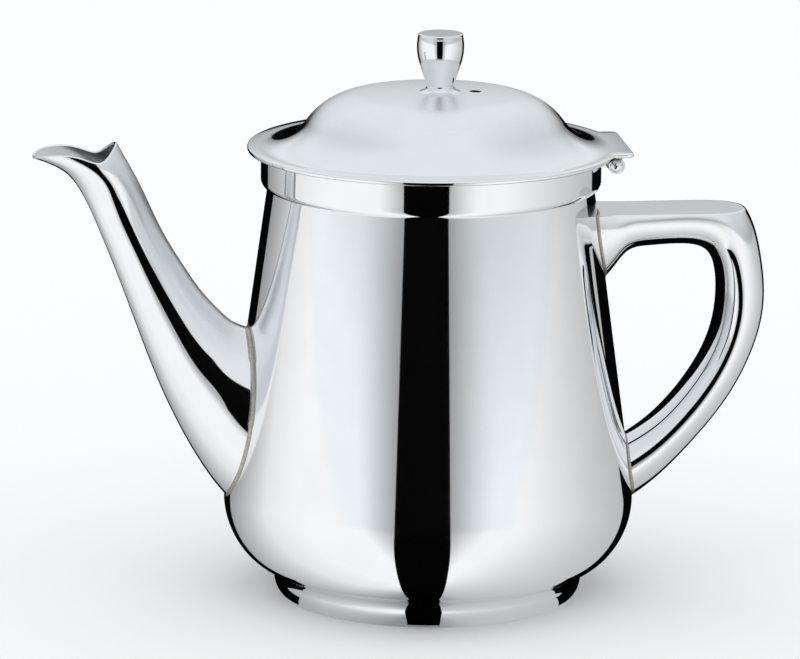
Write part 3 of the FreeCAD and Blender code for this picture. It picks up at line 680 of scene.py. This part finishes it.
def lid_ring_of(radius, height):
    """Ring of the dished part, with a point for every point of the brim's plan."""
    return np.stack([LID_CENTRE + radius * np.cos(edge_angle), radius * np.sin(edge_angle),
                     np.full(len(edge), height)], axis=1)


for radius, height in lid_outline(0)[1:]:
    lid_rings.append(lid_ring_of(radius, height))
for turn in np.radians((90, 70, 50, 30, 10, -10, -30, -50, -70, -90)):
    inset = BRIM_EDGE * (1 - math.cos(turn))
    flat = math.copysign(LID_SHEET / 2 - BRIM_EDGE, turn)
    height = BRIM_TOP - LID_SHEET / 2 + flat + BRIM_EDGE * math.sin(turn)
    lid_rings.append(np.concatenate([edge - edge_facing * inset, np.full((len(edge), 1), height)], axis=1))
for radius, height in lid_outline(LID_SHEET)[:0:-1]:
    lid_rings.append(lid_ring_of(radius, height))
count = len(edge)
vertices = np.concatenate(lid_rings + [[(LID_CENTRE, 0, CROWN_TOP), (LID_CENTRE, 0, CROWN_TOP - LID_SHEET)]])
top, under = len(vertices) - 2, len(vertices) - 1
faces = []
for k in range(count):
    n = (k + 1) % count
    faces.append((top, k, n))
    faces.append((under, (len(lid_rings) - 1) * count + n, (len(lid_rings) - 1) * count + k))
    for ring in range(len(lid_rings) - 1):
        faces.append((ring * count + k, (ring + 1) * count + k, (ring + 1) * count + n, ring * count + n))

# Punched edge: the wall of the little hole painted near-black with a random mottle, a painted shade standing
# for the dark inside of the hole, so that it reads dark.
punched_edge_shade, tree = new_material("punched_edge_painted_shade")
place = add(tree, "ShaderNodeTexCoord", {}).outputs["Object"]
shade_mottle = add(tree, "ShaderNodeTexNoise", {"Vector": place, "Scale": per_mm(0.7), "Detail": 3.0}).outputs["Fac"]
tone = add(tree, "ShaderNodeMix", {"Factor": shade_mottle, "A": linear("#1E1B18"), "B": linear("#4A433B")},
           data_type="RGBA").outputs[2]
shader = add(tree, "ShaderNodeBsdfPrincipled", {"Base Color": tone, "Metallic": 1.0, "Roughness": 0.55})
add(tree, "ShaderNodeOutputMaterial", {"Surface": shader.outputs[0]})

# Polished lid: the same mirror, but the crown round the knob is hazier than the sweep and the brim, because
# the knob keeps the wheel off. The crown shows soft tones, and the sweep keeps its sharp black crescents.
lid_steel, tree = new_material("polished_lid_stainless")
place = add(tree, "ShaderNodeTexCoord", {}).outputs["Object"]
haze = add(tree, "ShaderNodeTexNoise",
           {"Vector": place, "Scale": per_mm(HAZE_SIZE), "Detail": 3.0}).outputs["Fac"]
level = add(tree, "ShaderNodeVectorMath", {0: place, 1: (1, 1, 0)}, operation="MULTIPLY").outputs["Vector"]
out = add(tree, "ShaderNodeVectorMath", {0: level}, operation="LENGTH").outputs["Value"]
hidden = add(tree, "ShaderNodeMapRange",
             {"Value": out, "From Min": 30 * MM, "From Max": 40 * MM, "To Min": 0.34, "To Max": 0.04},
             interpolation_type="SMOOTHSTEP").outputs["Result"]
gloss = add(tree, "ShaderNodeMath", {0: haze, 1: 0.02, 2: hidden}, operation="MULTIPLY_ADD").outputs[0]
buffed(tree, haze, gloss)

lid = new_piece("dished_lid", vertices, faces, [lid_steel, satin_steel, punched_edge_shade])
for face in lid.data.polygons:
    if face.normal.z < -0.3:
        face.material_index = 1
# The vent's cut wall takes the painted-shade edge material, so the hole reads dark.
vent = turned("vent", [(0, 140), (VENT_RADIUS, 140), (VENT_RADIUS, 155), (0, 155)], [punched_edge_shade] * 3,
              place=(VENT_X, 0, 0), steps=48)
cut_away(lid, vent, 2)
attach(lid, "lid")
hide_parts("lid_shell")


# Lid collar: a short band of thin strip welded under the lid, which drops into the neck and keeps the lid
# from sliding. Left satin, with its lower edge rolled round.

COLLAR_RADIUS, COLLAR_WALL, COLLAR_BOTTOM = 47.2, 0.9, 125.8
under_lid = lid_outline(LID_SHEET)
collar_top = np.interp(COLLAR_RADIUS - COLLAR_WALL / 2, under_lid[:, 0], under_lid[:, 1]) + LID_SHEET / 2
half_wall = COLLAR_WALL / 2
collar_outline = joined(
    arc((COLLAR_RADIUS - half_wall, COLLAR_BOTTOM + half_wall), half_wall, -math.pi, 0),
    straight((COLLAR_RADIUS, COLLAR_BOTTOM + half_wall), (COLLAR_RADIUS, collar_top)),
    straight((COLLAR_RADIUS, collar_top), (COLLAR_RADIUS - COLLAR_WALL, collar_top)),
    straight((COLLAR_RADIUS - COLLAR_WALL, collar_top),
             (COLLAR_RADIUS - COLLAR_WALL, COLLAR_BOTTOM + half_wall)),
)
collar = turned("lid_collar", collar_outline, [satin_steel])
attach(collar, "lid")
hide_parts("lid_ring")


# Knob: turned from bar, a flared foot and a narrow waist under a cone that swells into a barrel with a flat
# top. Polished like the lid and held from below by a screw.

KNOB_X = 2.4
KNOB_BASE, KNOB_TOP = 147.7, 165.0
KNOB_FOOT = (5.9, 148.05)
KNOB_WAIST = (4.1, 150.2)
KNOB_SWELL = (5.66, 155.4)
KNOB_SHOULDER = (6.42, 164.6)
KNOB_FACE = 6.02
knob_outline = joined(
    [(0, KNOB_BASE), (KNOB_FOOT[0], KNOB_BASE), KNOB_FOOT],
    round_between((5.75, 148.1), KNOB_WAIST, 1.7, -1),
    straight(KNOB_WAIST, KNOB_SWELL, 0.5),
    round_between(KNOB_SWELL, KNOB_SHOULDER, 15.2, 1),
    round_between(KNOB_SHOULDER, (KNOB_FACE, KNOB_TOP), 0.4, 1),
    straight((KNOB_FACE, KNOB_TOP), (0, KNOB_TOP), 0.5),
)
knob = turned("turned_knob", knob_outline, [mirror_steel], place=(KNOB_X, 0, 0), steps=160)
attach(knob, "lid")
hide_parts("knob")


# Knob washer and screw: a flat washer under the lid and a pan-head screw through it into the knob. Both are
# plain satin stainless, seen only when the lid is up.

SEAT = CROWN_TOP - LID_SHEET
WASHER_RADIUS, WASHER_SHEET = 4.2, 0.8
HEAD_RADIUS, HEAD_HEIGHT, SHANK_RADIUS, SHANK_END = 2.8, 1.8, 1.5, 154.7
washer_outline = [
    (SHANK_RADIUS, SEAT - WASHER_SHEET), (WASHER_RADIUS - 0.2, SEAT - WASHER_SHEET),
    (WASHER_RADIUS, SEAT - WASHER_SHEET + 0.2), (WASHER_RADIUS, SEAT - 0.2), (WASHER_RADIUS - 0.2, SEAT),
    (SHANK_RADIUS, SEAT), (SHANK_RADIUS, SEAT - WASHER_SHEET),
]
washer = turned("flat_washer", washer_outline, [satin_steel], place=(KNOB_X, 0, 0), steps=96)
head_top = SEAT - WASHER_SHEET
screw_outline = joined(
    [(0, head_top - HEAD_HEIGHT), (HEAD_RADIUS - 1.0, head_top - HEAD_HEIGHT)],
    round_between((HEAD_RADIUS - 1.0, head_top - HEAD_HEIGHT), (HEAD_RADIUS, head_top - 0.8), 1.1, 1),
    [(HEAD_RADIUS, head_top), (SHANK_RADIUS - 0.02, head_top), (SHANK_RADIUS - 0.02, SHANK_END - 0.3),
     (SHANK_RADIUS - 0.3, SHANK_END), (0, SHANK_END)],
)
screw = turned("pan_head_screw", screw_outline, [satin_steel, satin_steel], place=(KNOB_X, 0, 0), steps=96)
slot_tool = turned("slot_tool", [(0, -4), (0.9, -4), (0.9, 4), (0, 4)], [satin_steel, satin_steel],
                   place=(KNOB_X, 0, head_top - HEAD_HEIGHT), along="Y", steps=4)
cut_away(screw, slot_tool)
for piece, node in ((washer, "knob_washer"), (screw, "knob_screw")):
    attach(piece, "lid")
    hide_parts(node)


# Strainer: a small oval plate with twenty-one holes punched in staggered rows, bent to the wall and tacked
# behind the spout's opening. Left satin like the inside it sits against.

STRAINER_SHEET, STRAINER_LAP = 0.8, 2.5
HOLE_RADIUS, HOLE_PITCH, HOLE_ROWS = 1.5, 4.8, 7
HOLE_FIELD = (9.4, 15.4)
WALL_LEAN = 0.1373
WALL_AT_OPENING = np.interp(OPENING_HEIGHT, inside[:, 1], inside[:, 0])

# Punching: rows of holes through an oval plate, which is then bent to the leaning wall.
punching = bpy.data.node_groups.new("punched_strainer", "GeometryNodeTree")
for label in ("Half width", "Half height", "Sheet", "Hole radius", "Pitch", "Row step", "Field width",
              "Field height", "Wall radius", "Wall lean", "Height"):
    punching.interface.new_socket(label, in_out="INPUT", socket_type="NodeSocketFloat")
punching.interface.new_socket("Rows", in_out="INPUT", socket_type="NodeSocketInt")
punching.interface.new_socket("Finish", in_out="INPUT", socket_type="NodeSocketMaterial")
punching.interface.new_socket("Plate", in_out="OUTPUT", socket_type="NodeSocketGeometry")
given = add(punching, "NodeGroupInput", {}).outputs
disc = add(punching, "GeometryNodeMeshCylinder",
           {"Vertices": 96, "Radius": 1.0, "Depth": given["Sheet"]}).outputs[0]
size = add(punching, "ShaderNodeCombineXYZ",
           {"X": given["Half width"], "Y": given["Half height"], "Z": 1.0}).outputs[0]
plate = add(punching, "GeometryNodeTransform", {"Geometry": disc, "Scale": size}).outputs[0]
wide = add(punching, "ShaderNodeMath", {0: given["Pitch"], 1: 3.0}, operation="MULTIPLY").outputs[0]
gaps = add(punching, "FunctionNodeIntegerMath", {0: given["Rows"], 1: 1}, operation="SUBTRACT").outputs[0]
tall = add(punching, "ShaderNodeMath", {0: given["Row step"], 1: gaps}, operation="MULTIPLY").outputs[0]
field = add(punching, "GeometryNodeMeshGrid",
            {"Size X": wide, "Size Y": tall, "Vertices X": 4, "Vertices Y": given["Rows"]}).outputs[0]
number = add(punching, "GeometryNodeInputIndex", {}).outputs[0]
row = add(punching, "FunctionNodeIntegerMath", {0: number, 1: given["Rows"]}, operation="MODULO").outputs[0]
odd = add(punching, "FunctionNodeIntegerMath", {0: row, 1: 2}, operation="MODULO").outputs[0]
half_pitch = add(punching, "ShaderNodeMath", {0: given["Pitch"], 1: 0.5}, operation="MULTIPLY").outputs[0]
shift = add(punching, "ShaderNodeMath", {0: odd, 1: half_pitch}, operation="MULTIPLY").outputs[0]
shift = add(punching, "ShaderNodeCombineXYZ", {"X": shift}).outputs[0]
field = add(punching, "GeometryNodeSetPosition", {"Geometry": field, "Offset": shift}).outputs[0]
position = add(punching, "GeometryNodeInputPosition", {}).outputs[0]
limits = add(punching, "ShaderNodeCombineXYZ",
             {"X": given["Field width"], "Y": given["Field height"], "Z": 1.0}).outputs[0]
reach = add(punching, "ShaderNodeVectorMath", {0: position, 1: limits}, operation="DIVIDE").outputs[0]
reach = add(punching, "ShaderNodeVectorMath", {0: reach}, operation="LENGTH").outputs["Value"]
beyond = add(punching, "FunctionNodeCompare", {"A": reach, "B": 1.0}, operation="GREATER_THAN").outputs[0]
field = add(punching, "GeometryNodeDeleteGeometry", {"Geometry": field, "Selection": beyond}).outputs[0]
deep = add(punching, "ShaderNodeMath", {0: given["Sheet"], 1: 3.0}, operation="MULTIPLY").outputs[0]
punch = add(punching, "GeometryNodeMeshCylinder",
            {"Vertices": 24, "Radius": given["Hole radius"], "Depth": deep}).outputs[0]
punches = add(punching, "GeometryNodeInstanceOnPoints", {"Points": field, "Instance": punch}).outputs[0]
punches = add(punching, "GeometryNodeRealizeInstances", {"Geometry": punches}).outputs[0]
plate = add(punching, "GeometryNodeMeshBoolean", {"Mesh 1": plate, "Mesh 2": punches},
            operation="DIFFERENCE").outputs[0]
plate = add(punching, "GeometryNodeTriangulate", {"Mesh": plate}).outputs[0]
flat = add(punching, "ShaderNodeSeparateXYZ", {"Vector": position}).outputs
lean = add(punching, "ShaderNodeMath", {0: given["Wall lean"], 1: flat["Y"]}, operation="MULTIPLY").outputs[0]
radius = add(punching, "ShaderNodeMath", {0: given["Wall radius"], 1: lean}, operation="SUBTRACT").outputs[0]
radius = add(punching, "ShaderNodeMath", {0: radius, 1: flat["Z"]}, operation="ADD").outputs[0]
squared = add(punching, "ShaderNodeMath", {0: radius, 1: radius}, operation="MULTIPLY").outputs[0]
across = add(punching, "ShaderNodeMath", {0: flat["X"], 1: flat["X"]}, operation="MULTIPLY").outputs[0]
squared = add(punching, "ShaderNodeMath", {0: squared, 1: across}, operation="SUBTRACT").outputs[0]
depth = add(punching, "ShaderNodeMath", {0: squared}, operation="SQRT").outputs[0]
back = add(punching, "ShaderNodeMath", {0: depth, 1: -1.0}, operation="MULTIPLY").outputs[0]
side = add(punching, "ShaderNodeMath", {0: flat["X"], 1: -1.0}, operation="MULTIPLY").outputs[0]
level = add(punching, "ShaderNodeMath", {0: flat["Y"], 1: given["Height"]}, operation="ADD").outputs[0]
bent = add(punching, "ShaderNodeCombineXYZ", {"X": back, "Y": side, "Z": level}).outputs[0]
plate = add(punching, "GeometryNodeSetPosition", {"Geometry": plate, "Position": bent}).outputs[0]
plate = add(punching, "GeometryNodeRealizeInstances", {"Geometry": plate}).outputs[0]
plate = add(punching, "GeometryNodeSetMaterial", {"Geometry": plate, "Material": given["Finish"]}).outputs[0]
add(punching, "NodeGroupOutput", {"Plate": plate})
strainer = finished("punched_strainer", made_by(punching, bpy.data.meshes.new("strainer"), {
    "Half width": (OPENING_HALF[0] + STRAINER_LAP) * MM,
    "Half height": (OPENING_HALF[1] + STRAINER_LAP) * MM,
    "Sheet": STRAINER_SHEET * MM,
    "Hole radius": HOLE_RADIUS * MM,
    "Pitch": HOLE_PITCH * MM,
    "Row step": HOLE_PITCH * math.sqrt(3) / 2 * MM,
    "Rows": HOLE_ROWS,
    "Field width": HOLE_FIELD[0] * MM,
    "Field height": HOLE_FIELD[1] * MM,
    "Wall radius": (WALL_AT_OPENING - STRAINER_SHEET / 2 - 0.03) * MM,
    "Wall lean": WALL_LEAN,
    "Height": OPENING_HEIGHT * MM,
}, [satin_steel]))
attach(strainer, "pot")
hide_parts("strainer_plate")


# Hinge: three knuckles on one pin, the middle one fixed to the neck with a heel that the tab stops on, the
# outer two under the tab. Polished bar, with the pin's ends set into low domes.

HINGE = (52.2, 127.9)
BARREL = 2.4
KNUCKLE_EASE = 0.25
PIN_RADIUS, PIN_HEAD, PIN_END, DOME_TOP = 1.2, 2.0, 13.0, 14.46
HEEL_OUT, HEEL_DOWN = 2.05, 2.95
CENTRE_HALF = 4.6
OUTER_FROM, OUTER_TO = 5.0, 13.0


def bar(name, outline, first, last, materials):
    """Straight bar along the hinge with eased ends, from an outline in millimetres about the hinge line."""
    middle = outline.mean(axis=0)
    eased = middle + (outline - middle) * (1 - KNUCKLE_EASE / np.abs(outline - middle).max())
    rings = [(eased, first), (outline, first + KNUCKLE_EASE), (outline, last - KNUCKLE_EASE), (eased, last)]
    vertices, count = [], len(outline)
    for ring, place in rings:
        vertices += [(HINGE[0] + x, place, HINGE[1] + z) for x, z in ring]
    faces = [tuple(range(count)), tuple(range(4 * count - 1, 3 * count - 1, -1))]
    for ring in range(3):
        for k in range(count):
            n = (k + 1) % count
            faces.append((ring * count + n, ring * count + k, (ring + 1) * count + k, (ring + 1) * count + n))
    return new_piece(name, vertices, faces, materials)


barrel_turn = np.arange(96) * 2 * math.pi / 96
barrel = BARREL * np.stack([np.cos(barrel_turn), np.sin(barrel_turn)], axis=1)
heel_reach = np.full(96, BARREL)
heel = np.sin(barrel_turn) < -1e-6
heel &= np.cos(barrel_turn) > 1e-6
to_side = HEEL_OUT / np.cos(barrel_turn[heel])
to_bottom = -HEEL_DOWN / np.sin(barrel_turn[heel])
heel_reach[heel] = np.maximum(BARREL, np.minimum(to_side, to_bottom))
for name, node, outline, first, last, bore, rides in (
    ("centre_knuckle", "pot_knuckle", barrel * heel_reach[:, None] / BARREL, -CENTRE_HALF, CENTRE_HALF, 1.25,
     "pot"),
    ("near_knuckle", "lid_knuckle_near", barrel, -OUTER_TO, -OUTER_FROM, 1.22, "lid"),
    ("far_knuckle", "lid_knuckle_far", barrel, OUTER_FROM, OUTER_TO, 1.22, "lid"),
):
    knuckle = bar(name, outline, first, last, [mirror_steel, satin_steel])
    reamer = turned("reamer", [(0, -20), (bore, -20), (bore, 20), (0, 20)], [satin_steel, satin_steel],
                    place=(HINGE[0], 0, HINGE[1]), along="Y", steps=48)
    cut_away(knuckle, reamer)
    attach(knuckle, rides)
    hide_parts(node)
pin_outline = joined(
    round_between((0, -DOME_TOP), (PIN_HEAD, -PIN_END), 2.1, 1),
    [(PIN_RADIUS, -PIN_END), (PIN_RADIUS, PIN_END)],
    round_between((PIN_HEAD, PIN_END), (0, DOME_TOP), 2.1, 1),
)
pin = turned("domed_pin", pin_outline, [mirror_steel], place=(HINGE[0], 0, HINGE[1]), along="Y", steps=64)
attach(pin, "lid")
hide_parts("hinge_pin")


# Brazes: straw-coloured fillets that hold the outer knuckles to the tab and the middle one to the neck,
# flowed in hot and left as they set.

# Silver braze: yellower than the steel, a little dull, with a faint ripple where it cooled.
braze_metal, tree = new_material("silver_braze")
place = add(tree, "ShaderNodeTexCoord", {}).outputs["Object"]
ripple = add(tree, "ShaderNodeTexNoise",
             {"Vector": place, "Scale": per_mm(1.2), "Detail": 3.0}).outputs["Fac"]
tone = add(tree, "ShaderNodeMix", {"Factor": ripple, "A": linear("#B98D4A"), "B": linear("#E8C88F")},
           data_type="RGBA").outputs[2]
dent = add(tree, "ShaderNodeBump", {"Height": ripple, "Strength": 0.5, "Distance": 0.0002}).outputs[0]
shader = add(tree, "ShaderNodeBsdfPrincipled",
             {"Base Color": tone, "Metallic": 1.0, "Roughness": 0.3, "Normal": dent})
add(tree, "ShaderNodeOutputMaterial", {"Surface": shader.outputs[0]})

under_tab = joined(
    round_between((2.5, 3.15), (1.5, 1.8), 1.6, 1),
    [(0, 1.4)],
    round_between((-1.5, 1.8), (-2.5, 3.15), 1.6, 1),
)[::-1]
on_neck = joined(
    round_between((-1.8, 1.5), (-3.5, 2.3), 2.2, -1)[::-1],
    [(-1.5, 0)],
    round_between((-3.5, -2.0), (-1.8, -1.5), 2.2, -1)[::-1],
)[::-1]
for name, node, outline, first, last, rides in (
    ("near_tab_braze", "tab_braze_near", under_tab, -OUTER_TO, -OUTER_FROM, "lid"),
    ("far_tab_braze", "tab_braze_far", under_tab, OUTER_FROM, OUTER_TO, "lid"),
    ("neck_fillet", "neck_braze", on_neck, -CENTRE_HALF, CENTRE_HALF, "pot"),
):
    fillet = bar(name, outline, first, last, [braze_metal])
    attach(fillet, rides)
    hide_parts(node)


# Studio: the pot stands on a pale floor inside a white tent that is brightest at the front left. Black
# cards stand in the tent's slit before the lens and close behind the pot, where only the polish sees them.

LENS_AZIMUTH = -7.27
UPPER_TENT = 0.915
NEAR_FLOOR, NEAR_GAIN = 1.04, 1.5


def toward(azimuth):
    """Level direction from the pot, in degrees to the right of the lens."""
    turn = math.radians(azimuth + LENS_AZIMUTH)
    return Vector((math.sin(turn), -math.cos(turn), 0))


def tent_tone(tree, look):
    """How bright the tent's lower edge is in a direction: less to the right, to the back and at the slit."""
    facing = []
    for azimuth in (-15, -165, -3):
        dot = add(tree, "ShaderNodeVectorMath", {0: look, 1: toward(azimuth)}, operation="DOT_PRODUCT")
        facing.append(dot.outputs["Value"])
    front, back, slit = facing
    sides = add(tree, "ShaderNodeMath", {0: front, 1: 0.26, 2: 0.59}, operation="MULTIPLY_ADD").outputs[0]
    shade = add(tree, "ShaderNodeMapRange", {"Value": back, "From Min": 0.5, "From Max": 0.95,
                                             "To Min": 1.0, "To Max": 0.5}).outputs["Result"]
    nearing = add(tree, "ShaderNodeMapRange",
                  {"Value": slit, "From Min": 0.64, "From Max": 0.96}).outputs["Result"]
    steep = add(tree, "ShaderNodeMath", {0: nearing, 1: 2.5}, operation="POWER").outputs[0]
    dim = add(tree, "ShaderNodeMath", {0: steep, 1: -0.6, 2: 1.0}, operation="MULTIPLY_ADD").outputs[0]
    shaded = add(tree, "ShaderNodeMath", {0: sides, 1: shade}, operation="MULTIPLY").outputs[0]
    return add(tree, "ShaderNodeMath", {0: shaded, 1: dim}, operation="MULTIPLY").outputs[0]


# White tent: plain white cloth for the camera and for the floor's light. Only the polish sees its tones: a
# wall that is lightest at its foot and above, greyer at the sides, and a backdrop that darkens downwards.
tent = bpy.data.worlds.new("white_tent")
bpy.context.scene.world = tent
tent.use_nodes = True
tree = tent.node_tree
tree.nodes.clear()
look = add(tree, "ShaderNodeTexCoord", {}).outputs["Generated"]
parts = add(tree, "ShaderNodeSeparateXYZ", {"Vector": look}).outputs
height = parts["Z"]
aside = add(tree, "ShaderNodeMath", {0: parts["X"]}, operation="ABSOLUTE").outputs[0]
upper = add(tree, "ShaderNodeMapRange",
            {"Value": aside, "From Min": 0.25, "From Max": 0.9, "To Min": UPPER_TENT, "To Max": 0.74},
            interpolation_type="SMOOTHSTEP").outputs["Result"]
rising = add(tree, "ShaderNodeMapRange", {"Value": height, "From Min": -0.05, "From Max": 0.5},
             interpolation_type="SMOOTHSTEP").outputs["Result"]
base = add(tree, "ShaderNodeMapRange",
           {"Value": height, "From Max": 0.05, "To Min": NEAR_GAIN, "To Max": 1.0}).outputs["Result"]
lower = add(tree, "ShaderNodeMath", {0: tent_tone(tree, look), 1: base}, operation="MULTIPLY").outputs[0]
lower = add(tree, "ShaderNodeMath", {0: lower, 1: NEAR_FLOOR}, operation="MINIMUM").outputs[0]
front = add(tree, "ShaderNodeMix", {"Factor": rising, "A": lower, "B": upper}).outputs[0]
behind = add(tree, "ShaderNodeVectorMath", {0: look, 1: toward(180)},
             operation="DOT_PRODUCT").outputs["Value"]
behind = add(tree, "ShaderNodeMapRange",
             {"Value": behind, "From Min": 0.85, "From Max": 0.93}).outputs["Result"]
backdrop = add(tree, "ShaderNodeMapRange",
               {"Value": height, "From Min": 0.08, "From Max": 0.30, "To Min": 0.25, "To Max": 0.90},
               interpolation_type="SMOOTHSTEP").outputs["Result"]
seen = add(tree, "ShaderNodeMix", {"Factor": behind, "A": front, "B": backdrop}).outputs[0]
polish = add(tree, "ShaderNodeLightPath", {}).outputs["Is Glossy Ray"]
strength = add(tree, "ShaderNodeMix", {"Factor": polish, "A": 1.0, "B": seen}).outputs[0]
cloth = add(tree, "ShaderNodeMix", {"Factor": polish, "A": linear("#FDFEFF"), "B": linear("#F5FAFD")},
            data_type="RGBA").outputs[2]
light = add(tree, "ShaderNodeBackground", {"Color": cloth, "Strength": strength})
add(tree, "ShaderNodeOutputWorld", {"Surface": light.outputs[0]})

# Pale floor: matt white board that takes the pot's shadow. For the polish it glows instead, a painted light
# in the tent's tones, taken by their direction from a point just before the pot that the black felt covers.
HEADING_FROM = (-0.008, -0.055, 0)
floor_paint, tree = new_material("pale_floor")
place = add(tree, "ShaderNodeTexCoord", {}).outputs["Object"]
ahead = add(tree, "ShaderNodeVectorMath", {0: place, 1: HEADING_FROM}, operation="SUBTRACT").outputs["Vector"]
heading = add(tree, "ShaderNodeVectorMath", {0: ahead}, operation="NORMALIZE").outputs["Vector"]
tone = tent_tone(tree, heading)
near = add(tree, "ShaderNodeMath", {0: tone, 1: NEAR_GAIN}, operation="MULTIPLY").outputs[0]
seen = add(tree, "ShaderNodeMath", {0: near, 1: NEAR_FLOOR}, operation="MINIMUM").outputs[0]
painted_floor_glow = add(tree, "ShaderNodeEmission", {"Color": linear("#FDFEFF"), "Strength": seen}).outputs[0]
paint = add(tree, "ShaderNodeBsdfDiffuse", {"Color": linear("#FFFFFF")}).outputs[0]
polish = add(tree, "ShaderNodeLightPath", {}).outputs["Is Glossy Ray"]
shader = add(tree, "ShaderNodeMixShader", {0: polish, 1: paint, 2: painted_floor_glow})
add(tree, "ShaderNodeOutputMaterial", {"Surface": shader.outputs[0]})


def card(name, corners, material):
    """Flat card of the studio, in metres."""
    mesh = bpy.data.meshes.new(name)
    mesh.from_pydata(corners, [], [tuple(range(len(corners)))])
    mesh.materials.append(material)
    made = bpy.data.objects.new(name, mesh)
    bpy.context.scene.collection.objects.link(made)
    return made


card("floor", ((-6, -6, 0), (6, -6, 0), (6, 6, 0), (-6, 6, 0)), floor_paint)

# Black felt: dead matt, so that what the polish shows of it is a plain black stripe.
flag_cloth, tree = new_material("black_felt")
shader = add(tree, "ShaderNodeBsdfDiffuse", {"Color": linear("#050505")})
add(tree, "ShaderNodeOutputMaterial", {"Surface": shader.outputs[0]})
LAID = 0.0008
SLIT_LEFT, SLIT_RIGHT, SLIT_AT, SLIT_TOP = -0.190, 0.033, -0.42, 0.23
BACK_LEFT, BACK_RIGHT, BACK_AT, BACK_TOP, BACK_DIP = -0.160, 0.280, 0.20, 0.157, 0.149
cards = {
    "slit_card": [(SLIT_LEFT, SLIT_AT, 0), (SLIT_RIGHT, SLIT_AT, 0), (SLIT_RIGHT, SLIT_AT, SLIT_TOP),
                  (SLIT_LEFT, SLIT_AT, SLIT_TOP)],
    "slit_felt": [(-0.010, -0.040, LAID), (SLIT_LEFT, SLIT_AT, LAID), (SLIT_RIGHT, SLIT_AT, LAID),
                  (-0.002, -0.040, LAID)],
    "back_card": [(BACK_LEFT, BACK_AT, 0), (BACK_RIGHT, BACK_AT, 0), (BACK_RIGHT, BACK_AT, BACK_DIP),
                  (0.065, BACK_AT, BACK_DIP), (-0.04, BACK_AT, BACK_TOP), (BACK_LEFT, BACK_AT, BACK_TOP)],
    "back_felt": [(-0.045, -0.017, LAID), (BACK_LEFT, BACK_AT, LAID), (BACK_RIGHT, BACK_AT, LAID),
                  (0.043, -0.026, LAID)],
}
for name, corners in cards.items():
    flag = card(name, corners, flag_cloth)
    for ray in ("camera", "diffuse", "shadow", "transmission"):
        setattr(flag, "visible_" + ray, False)

CAMERA_AT = Vector((-0.23203, -1.81967, 0.49416))
LOOKS_AT = Vector((-0.00848, 0.00104, 0.07774))
lens = bpy.data.cameras.new("camera")
lens.lens = 291.9
lens.sensor_width = 36.0
lens.clip_end = 100
camera = bpy.data.objects.new("camera", lens)
bpy.context.scene.collection.objects.link(camera)
turn = (LOOKS_AT - CAMERA_AT).to_track_quat("-Z", "Y").to_matrix().to_4x4()
camera.matrix_world = Matrix.Translation(CAMERA_AT) @ turn @ Matrix.Rotation(math.radians(0.5), 4, "Z")
bpy.context.scene.camera = camera
bpy.context.scene.view_settings.view_transform = "Standard"
